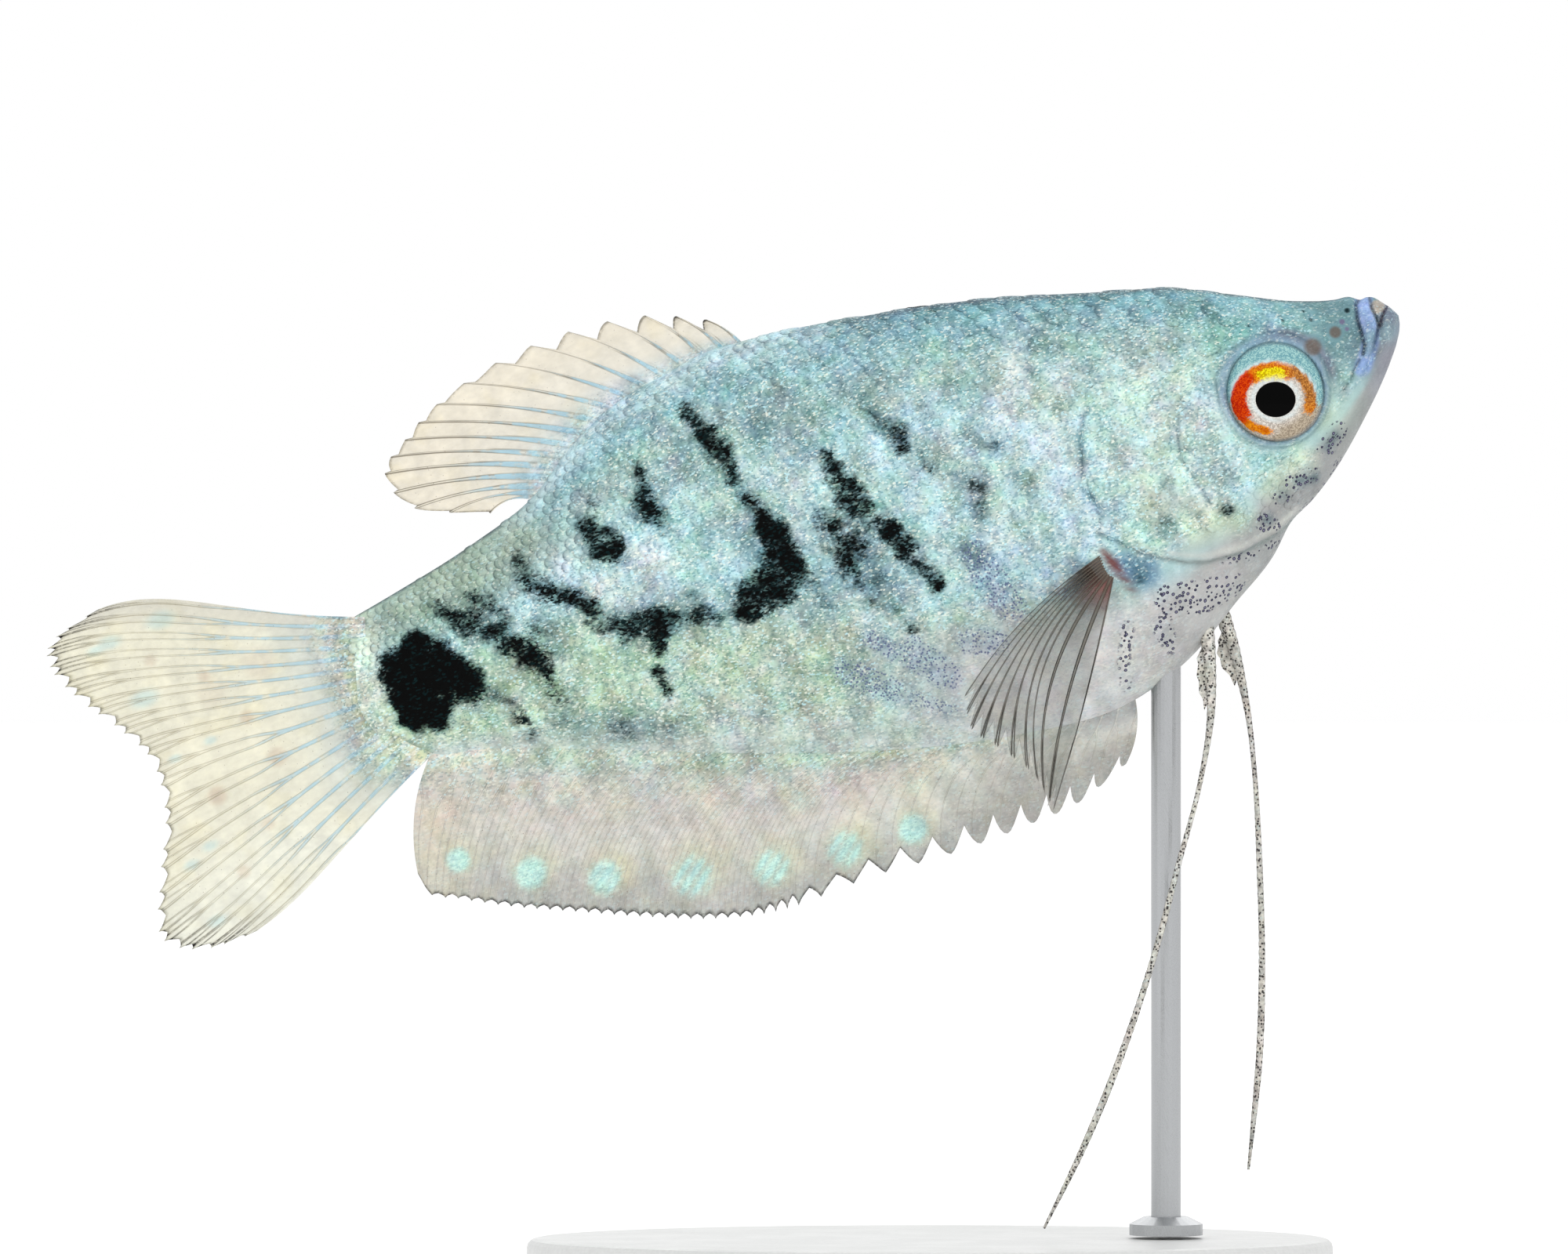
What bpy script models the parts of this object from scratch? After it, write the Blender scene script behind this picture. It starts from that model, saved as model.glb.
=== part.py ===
"""A blue gourami swimming head up: a still, life-size model on a plain display stand.

The fish is drawn from its right side. "Behind" is the distance behind the tip of the snout, "up" the height
over the line from there to the root of the tail fin, and "side" the distance from the fish's middle plane,
which is positive on its left. All three are in hundredths of the fish's standard length, and so is every size
of the fish that isn't said to be in metres.
"""

import math

import bmesh
import bpy
import numpy as np
from mathutils import Matrix, Vector

# Driving dimensions, in metres and radians
STANDARD_LENGTH = 0.095
PITCH = math.radians(19.24)
GAP = 0.0003
BASE_TOP = 0.005
SNOUT_FORWARD = 0.05876
SNOUT_ABOVE_BASE = 0.08016

# The same in hundredths of the standard length
HUNDREDTH = STANDARD_LENGTH / 100
SEAM = GAP / HUNDREDTH
HALF_SEAM = 0.55 * SEAM
GILL_SEAM = 1.3 * SEAM
BELLY_SEAM = 1.1 * SEAM

# The fish's outline from the side, as (behind, up)
BACK_LINE = [
    (0.09, 0.03), (0.58, 0.98), (1.15, 1.71), (1.61, 2.28), (2.3, 2.62), (2.95, 2.6), (3.78, 3.16),
    (5.06, 3.35), (8.68, 4.47), (13.57, 6.78), (18.45, 9.09), (25.3, 11.12), (35.7, 14.05), (46.3, 16.14),
    (57.2, 17.6), (61.2, 17.75), (65.0, 17.1), (70.4, 16.0), (74.9, 13.95), (80.1, 10.55), (87.0, 8.2),
    (95.3, 6.3), (102.0, 5.0),
]
BELLY_LINE = [
    (0.09, 0.03), (0.19, -0.6), (0.39, -1.18), (0.93, -2.15), (2.16, -3.78), (3.78, -5.6), (6.21, -8.0),
    (10.56, -11.75), (13.0, -13.35), (15.7, -14.75), (17.9, -16.85), (22.85, -20.0), (28.07, -23.2),
    (34.3, -25.3), (46.2, -24.7), (56.05, -22.55), (69.7, -18.16), (83.1, -13.11), (93.3, -9.7),
    (97.2, -9.15), (102.0, -9.1),
]

# The body's thickness: (behind, half width, height of the widest place, pinch of the lower half)
GIRTH = [
    (0.09, 0.2, 0.0, 0.0), (0.4, 1.0, -0.1, 0.0), (1.0, 1.75, -0.3, 0.0), (2.0, 2.45, -0.8, 0.0),
    (3.4, 3.0, -1.2, 0.0), (5.5, 3.7, -2.2, 0.0), (9.0, 4.8, -3.2, 0.0), (13.5, 5.9, -3.8, 0.0),
    (20.0, 6.9, -4.6, 0.0), (27.0, 7.6, -5.2, 0.0), (35.0, 7.9, -5.0, 0.25), (45.0, 7.5, -3.8, 0.75),
    (60.0, 6.2, -2.4, 1.0), (75.0, 4.5, -1.6, 1.0), (90.0, 2.9, -1.6, 0.8), (102.0, 1.6, -2.0, 0.5),
]

# How the rings round the body lean and bow: (behind at the side, lean of the top, lean of the bottom, sag)
RING_LAYOUT = [
    (0.12, 0.0, 0.0, 0.0), (3.0, -0.2, -0.2, 0.0), (9.0, -0.8, -1.2, 0.0), (15.0, -1.6, -4.0, 0.4),
    (24.0, -3.4, -10.0, 1.8), (32.4, -6.6, -16.7, 3.3), (36.0, -6.0, -15.0, 2.8), (45.0, -3.0, -8.0, 0.9),
    (58.0, 0.0, -2.5, 0.0), (75.0, 0.0, 0.0, 0.0), (90.0, 0.0, -1.0, 0.0), (101.6, -2.1, -4.3, 0.0),
]
RING_SIDE_UP = [(0.12, 0.03), (5.0, -2.0), (10.0, -3.4), (20.0, -4.8), (32.4, -5.9), (45.0, -4.2),
                (60.0, -2.4), (80.0, -1.6), (101.6, -2.2)]
BOTTOM_LEAN_POWER = 2.2

GILL_STATION = 32.4
WAIST_STATION = 73.0
TAIL_STATION = 101.6
HEAD_STATIONS = [0.12, 0.4, 0.9, 1.6, 2.4, 3.2, 4.1, 5.1, 6.3, 7.7, 9.2, 10.8, 12.5, 14.3, 16.2, 18.2, 20.3,
                 22.5, 24.8, 27.2, 29.8, GILL_STATION]
POINTS_PER_SIDE = 15

# Half the thickness that the skin keeps along its upper and lower edges, wider where a fin stands on it
EDGE_HALF = 0.18
FIN_SEAT_HALF = 0.55
DORSAL_SEAT = (57.0, 80.5)
ANAL_SEAT = (33.6, 97.5)

# Lines of the head, as (behind, up)
MOUTH_LINE = [(0.75, 1.05), (1.56, 0.5), (2.16, -0.25), (2.57, -0.92), (3.31, -1.9), (4.2, -3.4),
              (4.9, -4.8)]
LIP_GROOVE = [(2.95, 2.75), (3.54, 2.0), (3.88, 1.0), (4.0, -0.5), (4.35, -2.0), (5.2, -3.3), (6.3, -4.6)]
JAW_LINE = [(4.9, -4.8), (6.0, -6.0), (8.0, -8.0), (9.4, -10.0), (10.2, -13.0)]
LIP_SWELL = 0.4
LIP_WIDTH = 0.75

EYE_CENTRE = (13.32, -2.94)
EYE_RADIUS = 4.9
EYE_DEPTH_HALF = 1.8
EYE_CENTRE_SIDE = 5.0
EYE_SLOPE_STEP = 2.0
ORBIT_RIM_RADIUS = 5.0
ORBIT_RIM_HALF_WIDTH = 0.55
ORBIT_RIM_HEIGHT = 0.42
ORBIT_RIM_SUNK = 0.12
NOSTRILS = [(4.5, 1.95, 0.34), (6.23, 0.43, 0.4)]

# How far the shapes that part the jaws reach past the head
AHEAD_OF_SNOUT = -3.0
ABOVE_SNOUT = 6.0
ABOVE_MOUTH = 3.5
BELOW_LIP = -9.0
BELOW_CHIN = -18.0
PAST_SIDE = 12.0
PAST_SKIN = 3.0

GILL_COVER_FRONT = [(22.6, -1.4), (23.0, -3.7), (23.5, -5.7), (22.7, -9.2), (21.2, -11.8), (18.8, -13.6)]
GILL_COVER_RING_POINTS = slice(3, 10)
GILL_COVER_PROUD = 0.22
GILL_COVER_DEPTH = 1.0
GILL_COVER_CROWN = 0.12

# Rays of the fins: (place from first to last ray, place of the root on its seat, tip behind, tip up)
DORSAL_RAYS = [
    (0.0, 57.4, 59.95, 20.5), (0.125, 61.1, 65.1, 22.7), (0.25, 65.0, 72.2, 23.6), (0.375, 68.7, 79.4, 23.1),
    (0.5, 72.1, 85.7, 21.3), (0.625, 74.9, 89.5, 19.2), (0.75, 77.0, 92.3, 16.9), (0.875, 78.7, 90.8, 13.0),
    (1.0, 80.2, 84.4, 10.25),
]
ANAL_RAYS = [
    (0.0, 34.3, 37.1, -30.5), (0.05, 37.2, 42.3, -32.4), (0.1, 40.0, 46.8, -32.8), (0.2, 46.0, 55.0, -33.0),
    (0.3, 51.5, 62.5, -32.6), (0.4, 57.5, 71.0, -32.8), (0.5, 63.5, 77.5, -31.4), (0.6, 69.5, 83.5, -29.1),
    (0.7, 76.0, 89.0, -26.7), (0.8, 82.5, 94.0, -24.5), (0.9, 89.5, 98.6, -22.1), (0.96, 93.8, 101.2, -20.6),
    (1.0, 96.8, 101.5, -18.7),
]
CAUDAL_UPPER_RAYS = [
    (0.0, 5.1, 121.9, 13.75), (0.2, 3.9, 126.4, 12.35), (0.4, 2.6, 127.1, 9.9), (0.6, 1.2, 125.5, 6.4),
    (0.8, -0.2, 123.0, 2.8), (1.0, -1.6, 121.3, -0.7),
]
CAUDAL_LOWER_RAYS = [
    (0.0, -2.0, 121.0, -1.4), (0.2, -3.4, 121.6, -6.0), (0.4, -4.8, 124.0, -11.4), (0.6, -6.1, 125.7, -16.4),
    (0.8, -7.4, 122.6, -18.7), (1.0, -8.7, 117.8, -18.9),
]
PECTORAL_RAYS = [
    (0.0, 0.0, 49.2, -19.6), (0.25, 0.25, 49.6, -22.8), (0.5, 0.5, 47.8, -25.2), (0.75, 0.75, 45.6, -28.6),
    (1.0, 1.0, 45.0, -32.2),
]
PECTORAL_ROOT = [(33.3, -11.7), (32.5, -13.6)]
SEAT_GAP = 1.2 * SEAM
PECTORAL_SPREAD = 4.6
PECTORAL_ROOT_CLEAR = 0.35

# How far the rays bow rearwards and up: (place from first to last ray, bow)
STRAIGHT = [(0.0, 0.0), (1.0, 0.0)]
DORSAL_BOW = [(0.0, 0.3), (1.0, 0.7)]
ANAL_BOW = [(0.0, -0.6), (0.03, 0.0), (1.0, 0.9)]
CAUDAL_UPPER_BOW = [(0.0, 3.2), (1.0, 0.9)]
CAUDAL_LOWER_BOW = [(0.0, 0.9), (1.0, -1.4)]
PECTORAL_BOW = [(0.0, 0.9), (0.4, 1.9), (0.7, 2.8), (0.85, 2.6), (1.0, -0.3)]

# Where the rays of the tail fin fork, as shares of their length
FORK_FROM = 0.35
FORK_LENGTH = 0.3

# Pelvic feelers, as (behind, up, side) along the middle of each
FEELER_RIGHT = [
    (25.9, -20.2, -1.5), (26.8, -23.9, -1.9), (28.2, -28.3, -2.5), (31.4, -34.3, -3.3), (35.9, -40.9, -4.2),
    (39.7, -46.5, -5.0), (46.7, -55.6, -6.0), (53.0, -62.6, -6.7), (58.2, -67.7, -7.2),
]
FEELER_LEFT = [
    (24.2, -19.9, 1.5), (24.3, -24.0, 2.0), (24.9, -29.5, 2.9), (26.4, -36.2, 3.9), (28.2, -42.5, 4.8),
    (31.4, -52.6, 5.9), (34.2, -60.0, 6.6), (37.0, -66.2, 7.0), (38.6, -69.6, 7.2),
]
FEELER_HALF_WIDTHS = [(0.0, 0.72), (0.06, 0.6), (0.16, 0.34), (0.5, 0.28), (0.9, 0.26), (1.0, 0.17)]
FEELER_CUTS = [0.0, 0.3, 0.64, 1.0]
FEELER_FLATTEN = 0.85
FRINGE_FIRST = 0.03
FRINGE_LAST = 0.12
FRINGE_REACH_RIGHT = 1.6
FRINGE_REACH_LEFT = 1.2
FRINGE_TIPS = [(1.0, -1.0), (1.45, -2.4), (0.7, -0.8)]

# How far the tail fin bends to the left at a distance out from its root, in hundredths over its square
TAIL_SWAY = 0.0022

# Where the rod ends inside the belly, as (behind, up)
ROD_TOP_PLACE = (31.13, -24.4)

# How finely the round forms are drawn
EYE_SEGMENTS, EYE_RINGS = 20, 10
RIM_AROUND, RIM_ACROSS = 28, 6
PLATE_ALONG, PLATE_ACROSS = 10, 6
FEELER_SIDES = 8
ROD_SIDES = 24
BASE_SIDES = 64

# Stand, in metres
BASE_CENTRE_X = 0.018
BASE_HALF_LENGTH = 0.035
BASE_HALF_WIDTH = 0.023
BASE_BEVEL = 0.0008
ROD_X = 0.0385
ROD_RADIUS = 0.0013
ROD_SINK = 0.0022
COLLAR_RADIUS = 0.0032
COLLAR_HEIGHT = 0.0016
COLLAR_TOP_SHARE = 0.6


def read_line(line, where):
    """Values of a smooth line through rows that start with their place, one column for each other value."""
    rows = np.array(line, float)
    places, values = rows[:, 0], rows[:, 1:]
    slopes = np.gradient(values, places, axis=0)
    where = np.clip(np.asarray(where, float), places[0], places[-1])
    at = np.clip(np.searchsorted(places, where) - 1, 0, len(places) - 2)
    step = places[at + 1] - places[at]
    share = ((where - places[at]) / step)[..., None]
    step = step[..., None]
    start, end = values[at], values[at + 1]
    result = start * (1 + 2 * share) * (1 - share) ** 2 + end * share ** 2 * (3 - 2 * share)
    result = result + step * share * (1 - share) * (slopes[at] * (1 - share) - slopes[at + 1] * share)
    return result[..., 0] if values.shape[1] == 1 else result


def world(behind, up, side):
    """A point of the fish, given in hundredths, where the posed fish has it in the world."""
    x = SNOUT_FORWARD - (behind * math.cos(PITCH) + up * math.sin(PITCH)) * HUNDREDTH
    z = BASE_TOP + SNOUT_ABOVE_BASE - (behind * math.sin(PITCH) - up * math.cos(PITCH)) * HUNDREDTH
    return Vector((x, side * HUNDREDTH, z))


def fish_point(x, z):
    """The (behind, up) of a point of the world, which undoes what world does."""
    forward = (SNOUT_FORWARD - x) / HUNDREDTH
    down = (BASE_TOP + SNOUT_ABOVE_BASE - z) / HUNDREDTH
    behind = forward * math.cos(PITCH) + down * math.sin(PITCH)
    return behind, forward * math.sin(PITCH) - down * math.cos(PITCH)


def distance_to(line, behind, up):
    """Distance from a place to a line of straight pieces in the side view."""
    place = np.array((behind, up))
    points = np.array(line)
    nearest = math.inf
    for start, end in zip(points[:-1], points[1:]):
        along = end - start
        share = np.clip(np.dot(place - start, along) / np.dot(along, along), 0, 1)
        nearest = min(nearest, float(np.linalg.norm(place - start - share * along)))
    return nearest


def seat_half(behind, seat):
    """Half width of the flat under a fin, which fades out past the ends of its seat."""
    fade = min(max((behind - seat[0]) / 2, 0), 1) * min(max((seat[1] - behind) / 2, 0), 1)
    return EDGE_HALF + (FIN_SEAT_HALF - EDGE_HALF) * fade


def half_width(behind, up):
    """Half the body's thickness at a place in the side view."""
    widest, middle, pinch = read_line(GIRTH, behind)
    top = float(read_line(BACK_LINE, behind))
    bottom = float(read_line(BELLY_LINE, behind))
    if up >= middle:
        share = min((up - middle) / (top - middle), 1)
        round_part = math.sqrt(1 - share ** 2)
        edge = seat_half(behind, DORSAL_SEAT)
    else:
        share = min((middle - up) / (middle - bottom), 1)
        round_part = (1 - share ** (2 - 0.5 * pinch)) ** (0.5 + 0.35 * pinch)
        edge = seat_half(behind, ANAL_SEAT)
    swell = math.exp(-((distance_to(MOUTH_LINE, behind, up) - LIP_WIDTH) / (0.7 * LIP_WIDTH)) ** 2)
    return math.hypot(widest * round_part + LIP_SWELL * swell * round_part, edge)


def ring_line(station):
    """Points (behind, up) of one ring on one side of the body, from its lower to its upper edge."""
    top_lean, bottom_lean, sag = read_line(RING_LAYOUT, station)
    side_up = float(read_line(RING_SIDE_UP, station))
    top = np.array((station + top_lean, read_line(BACK_LINE, station + top_lean)))
    bottom = np.array((station + bottom_lean, read_line(BELLY_LINE, station + bottom_lean)))
    side = np.array((station, side_up))
    points = []
    for angle in np.linspace(-math.pi / 2, math.pi / 2, POINTS_PER_SIDE):
        share = abs(math.sin(angle))
        if angle >= 0:
            points.append(side + (top - side) * share)
            continue
        behind = side[0] + (bottom[0] - side[0]) * share ** BOTTOM_LEAN_POWER
        up = side[1] + (bottom[1] - side[1]) * share - sag * 4 * share ** 2 * (1 - share ** 2)
        points.append(np.array((behind, up)))
    return points


def make_object(name, bm, material=None):
    """A smooth-shaded object with its faces turned out."""
    bmesh.ops.recalc_face_normals(bm, faces=bm.faces[:])
    mesh = bpy.data.meshes.new(name)
    bm.to_mesh(mesh)
    bm.free()
    made = bpy.data.objects.new(name, mesh)
    bpy.context.scene.collection.objects.link(made)
    if material:
        mesh.materials.append(material)
    mesh.shade_smooth()
    mesh.set_sharp_from_angle(angle=math.radians(35))
    return made


def grid_solid(name, first_side, second_side, material=None):
    """A closed solid between two grids of points of the same size, both split into triangles alike."""
    bm = bmesh.new()
    rows, columns = len(first_side), len(first_side[0])
    front = [[bm.verts.new(point) for point in row] for row in first_side]
    back = [[bm.verts.new(point) for point in row] for row in second_side]
    for r in range(rows - 1):
        for c in range(columns - 1):
            corners = ((r, c), (r + 1, c), (r + 1, c + 1), (r, c + 1))
            for chosen in ((0, 1, 2), (0, 2, 3)):
                bm.faces.new([front[corners[k][0]][corners[k][1]] for k in chosen])
                bm.faces.new([back[corners[k][0]][corners[k][1]] for k in reversed(chosen)])
    border = [(0, c) for c in range(columns)] + [(r, columns - 1) for r in range(1, rows)]
    border += [(rows - 1, c) for c in range(columns - 2, -1, -1)] + [(r, 0) for r in range(rows - 2, 0, -1)]
    for (r, c), (next_r, next_c) in zip(border, border[1:] + border[:1]):
        bm.faces.new((front[r][c], front[next_r][next_c], back[next_r][next_c], back[r][c]))
    return make_object(name, bm, material)


def body_piece(name, stations, seam_first=0.0, seam_last=0.0, grow=0.0, colour=None):
    """The stretch of the body between two stations, cut straight across along their rings."""
    right, left = [], []
    seams = {0: -seam_first, len(stations) - 1: seam_last}
    for number, station in enumerate(stations):
        line = moved_line(ring_line(station), seams.get(number, 0.0))
        row = []
        for number_up, (behind, up) in enumerate(line):
            height = grow * (2 * number_up / (len(line) - 1) - 1)
            row.append((behind, up + height, half_width(behind, up) + grow))
        right.append([world(behind, up, -side) for behind, up, side in row])
        left.append([world(behind, up, side) for behind, up, side in row])
    return grid_solid(name, right, left, colour)


def boolean(target, cutter, operation):
    """Joins or cuts two solids, keeps the result in the first and removes the second."""
    modifier = target.modifiers.new(operation.title(), "BOOLEAN")
    modifier.object = cutter
    modifier.operation = operation
    modifier.solver = "EXACT"
    graph = bpy.context.evaluated_depsgraph_get()
    mesh = bpy.data.meshes.new_from_object(target.evaluated_get(graph))
    target.modifiers.clear()
    target.data = mesh
    bpy.data.objects.remove(cutter)
    keep_largest(target)


def islands(bm):
    """The sets of joined faces of a mesh."""
    left = set(bm.faces)
    found = []
    while left:
        island, edge = set(), [left.pop()]
        while edge:
            face = edge.pop()
            island.add(face)
            for side in face.edges:
                for near in side.link_faces:
                    if near in left:
                        left.remove(near)
                        edge.append(near)
        found.append(island)
    return found


def keep_largest(target):
    """Drops every closed surface of an object but the widest one."""
    bm = bmesh.new()
    bm.from_mesh(target.data)
    found = sorted(islands(bm), key=lambda island: sum(face.calc_area() for face in island))
    scraps = [face for island in found[:-1] for face in island]
    if scraps:
        bmesh.ops.delete(bm, geom=scraps, context="FACES")
        bm.to_mesh(target.data)
    bm.free()


def copy_of(made, name):
    """A second object with its own copy of the mesh."""
    twin = bpy.data.objects.new(name, made.data.copy())
    bpy.context.scene.collection.objects.link(twin)
    return twin


def prism(name, outline):
    """A solid of an outline in the side view, drawn straight through the fish."""
    bm = bmesh.new()
    right = [bm.verts.new(world(behind, up, -PAST_SIDE)) for behind, up in outline]
    left = [bm.verts.new(world(behind, up, PAST_SIDE)) for behind, up in outline]
    bm.faces.new(right)
    bm.faces.new(reversed(left))
    for k in range(len(outline)):
        n = (k + 1) % len(outline)
        bm.faces.new((right[n], right[k], left[k], left[n]))
    return make_object(name, bm)


def moved_line(line, distance):
    """A line of the side view moved sideways, to its left as it is walked along."""
    points = np.array(line, float)
    along = np.gradient(points, axis=0)
    along /= np.linalg.norm(along, axis=1)[:, None]
    return points + distance * np.stack((-along[:, 1], along[:, 0]), axis=1)


def material(name, colour, roughness, metallic=0.0):
    """A plain Principled material."""
    made = bpy.data.materials.new(name)
    made.use_nodes = True
    shader = made.node_tree.nodes["Principled BSDF"]
    shader.inputs["Base Color"].default_value = (*colour, 1.0)
    shader.inputs["Roughness"].default_value = roughness
    shader.inputs["Metallic"].default_value = metallic
    return made


def eye_frame(side_sign):
    """The place and the turn of an eye, whose own Z axis looks out of the head."""
    behind, up = EYE_CENTRE
    step = EYE_SLOPE_STEP
    slope_behind = (half_width(behind + step, up) - half_width(behind - step, up)) / (2 * step)
    slope_up = (half_width(behind, up + step) - half_width(behind, up - step)) / (2 * step)
    centre = world(behind, up, side_sign * EYE_CENTRE_SIDE)
    out = world(behind - slope_behind, up - slope_up, side_sign * (EYE_CENTRE_SIDE + 1)) - centre
    return Matrix.Translation(centre) @ out.to_track_quat("Z", "Y").to_matrix().to_4x4()


def eye_ball(name, side_sign, grow, colour=None):
    """The flattened ball of an eye, or the socket that it lies in."""
    bm = bmesh.new()
    flat = EYE_DEPTH_HALF * HUNDREDTH + grow
    wide = EYE_RADIUS * HUNDREDTH + grow
    shape = eye_frame(side_sign) @ Matrix.Diagonal((wide, wide, flat, 1.0))
    bmesh.ops.create_uvsphere(bm, u_segments=EYE_SEGMENTS, v_segments=EYE_RINGS, radius=1.0, matrix=shape)
    return make_object(name, bm, colour)


def orbit_rim(side_sign):
    """The low ring of skin round an eye."""
    bm = bmesh.new()
    frame = eye_frame(side_sign)
    rings = []
    for k in range(RIM_AROUND):
        turn = 2 * math.pi * k / RIM_AROUND
        ring = []
        for n in range(RIM_ACROSS):
            roll = 2 * math.pi * n / RIM_ACROSS
            radius = ORBIT_RIM_RADIUS + ORBIT_RIM_HALF_WIDTH * math.cos(roll)
            point = Vector((radius * math.cos(turn), radius * math.sin(turn), 0)) * HUNDREDTH
            behind, up = fish_point(*(frame @ point).xz)
            side = half_width(behind, up) - ORBIT_RIM_SUNK + ORBIT_RIM_HEIGHT * math.sin(roll)
            ring.append(bm.verts.new(world(behind, up, side_sign * side)))
        rings.append(ring)
    for k in range(RIM_AROUND):
        for n in range(RIM_ACROSS):
            after = (n + 1) % RIM_ACROSS
            ahead = rings[(k + 1) % RIM_AROUND]
            bm.faces.new((rings[k][n], ahead[n], ahead[after], rings[k][after]))
    return make_object("orbit_rim", bm)


def nostril(behind, up, radius, side_sign):
    """A short pit for one nostril."""
    bm = bmesh.new()
    centre = world(behind, up, side_sign * half_width(behind, up))
    size = Matrix.Scale(radius * HUNDREDTH, 4)
    bmesh.ops.create_icosphere(bm, subdivisions=2, radius=1.0, matrix=Matrix.Translation(centre) @ size)
    return make_object("nostril", bm)


def gill_plate(name, side_sign, margin, inner, outer, colour=None):
    """A curved plate over the gills, or with a margin the recess that it lies in."""
    rear_points = moved_line(ring_line(GILL_STATION)[GILL_COVER_RING_POINTS][::-1], -GILL_SEAM)
    front_line = np.column_stack((np.linspace(0, 1, len(GILL_COVER_FRONT)), GILL_COVER_FRONT))
    rear_line = np.column_stack((np.linspace(0, 1, len(rear_points)), rear_points))
    inner_grid, outer_grid = [], []
    for row in np.linspace(0, 1, PLATE_ALONG):
        front, rear = read_line(front_line, row), read_line(rear_line, row)
        backwards = (rear - front) / np.linalg.norm(rear - front)
        inner_row, outer_row = [], []
        for column in np.linspace(0, 1, PLATE_ACROSS):
            behind, up = front + (rear - front) * column + backwards * margin * (2 * column - 1)
            up += margin * (1 - 2 * row)
            skin = half_width(behind, up)
            crown = math.sin(math.pi * row) * math.sin(math.pi * column) * GILL_COVER_CROWN
            inner_row.append(world(behind, up, side_sign * (skin - inner)))
            outer_row.append(world(behind, up, side_sign * (skin + outer + crown)))
        inner_grid.append(inner_row)
        outer_grid.append(outer_row)
    return grid_solid(name, inner_grid, outer_grid, colour)


def make_head(skin):
    """The head with its sockets and recesses, and the two jaws cut from it."""
    head = body_piece("head", HEAD_STATIONS, seam_last=HALF_SEAM, colour=skin)
    recess_depth = GILL_COVER_DEPTH + SEAT_GAP
    for sign in (-1, 1):
        boolean(head, orbit_rim(sign), "UNION")
    for sign in (-1, 1):
        boolean(head, eye_ball("socket", sign, GAP), "DIFFERENCE")
        boolean(head, gill_plate("recess", sign, GILL_SEAM, recess_depth, PAST_SKIN), "DIFFERENCE")
        for behind, up, radius in NOSTRILS:
            boolean(head, nostril(behind, up, radius, sign), "DIFFERENCE")
    jaw_path = MOUTH_LINE + JAW_LINE[1:]
    ahead_of_mouth = [(AHEAD_OF_SNOUT, ABOVE_MOUTH)]
    below_jaw = [(JAW_LINE[-1][0], BELOW_CHIN), (AHEAD_OF_SNOUT, BELOW_CHIN)]
    lower_jaw = copy_of(head, "lower_jaw")
    boolean(lower_jaw, prism("jaw_shape", ahead_of_mouth + jaw_path + below_jaw), "INTERSECT")
    grown_jaw = [tuple(point) for point in moved_line(jaw_path, SEAM)]
    above_mouth = [(AHEAD_OF_SNOUT, ABOVE_MOUTH + SEAM)]
    boolean(head, prism("jaw_room", above_mouth + grown_jaw + below_jaw), "DIFFERENCE")
    upper_jaw = copy_of(head, "upper_jaw")
    above_groove = [(LIP_GROOVE[0][0], ABOVE_SNOUT), (AHEAD_OF_SNOUT, ABOVE_SNOUT),
                    (AHEAD_OF_SNOUT, BELOW_LIP), (LIP_GROOVE[-1][0], BELOW_LIP)]
    boolean(upper_jaw, prism("lip_shape", LIP_GROOVE[::-1] + above_groove), "INTERSECT")
    grown_lip = [tuple(point) for point in moved_line(LIP_GROOVE[::-1], -SEAM)]
    boolean(head, prism("lip_room", grown_lip + above_groove), "DIFFERENCE")


def stations_between(first, last, count):
    """Evenly spaced stations, both ends among them."""
    return list(np.linspace(first, last, count))


def fin(name, keys, seat, rays, rows, colour=None, root_half=0.4, tip_half=0.14, ridge=0.2, notch=0.05,
        notch_first=None, bow=STRAIGHT, bow_power=1, branched=False, side_at=None):
    """A fin as one thin closed sheet whose rays are ridges in its own surface."""
    per_ray = 4 if branched else 2
    columns = per_ray * (rays - 1) + 1
    right, left = [], []
    for row in range(rows + 1):
        share_out = row / rows
        right_row, left_row = [], []
        for column in range(columns):
            place = column / (columns - 1)
            root_place, tip_behind, tip_up = read_line(keys, place)
            root, tip = np.array(seat(root_place)), np.array((tip_behind, tip_up))
            length = float(np.linalg.norm(tip - root))
            cut = notch if notch_first is None else notch_first + (notch - notch_first) * min(place * 2.5, 1)
            within = column % per_ray
            reach = 1.0 if within == 0 else 1 - cut
            if branched and within in (1, 3):
                reach = 1 - cut * 0.25
            out = share_out * reach
            sideways = np.array((root[1] - tip[1], tip[0] - root[0])) / length
            bend = float(read_line(bow, place))
            spot = root + (tip - root) * out + sideways * bend * 4 * out ** bow_power * (1 - out)
            raised = 1.0 if within == 0 else 0.0
            if branched:
                fork = min(max((share_out - FORK_FROM) / FORK_LENGTH, 0), 1)
                raised = (1 - fork * 0.8) if within == 0 else fork * 0.9 if within in (1, 3) else 0.0
            half = root_half + (tip_half - root_half) * share_out ** 1.3
            half += ridge * raised * (1 - 0.75 * share_out)
            middle = side_at(place, out * length) if side_at else 0.0
            right_row.append(world(*spot, middle - half))
            left_row.append(world(*spot, middle + half))
        right.append(right_row)
        left.append(left_row)
    return grid_solid(name, right, left, colour)


def on_back(behind):
    """Where a ray of the dorsal fin starts, just clear of the back."""
    return behind, float(read_line(BACK_LINE, behind)) + SEAT_GAP


def on_belly(behind):
    """Where a ray of the anal fin starts, just clear of the belly's keel."""
    return behind, float(read_line(BELLY_LINE, behind)) - SEAT_GAP


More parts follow.
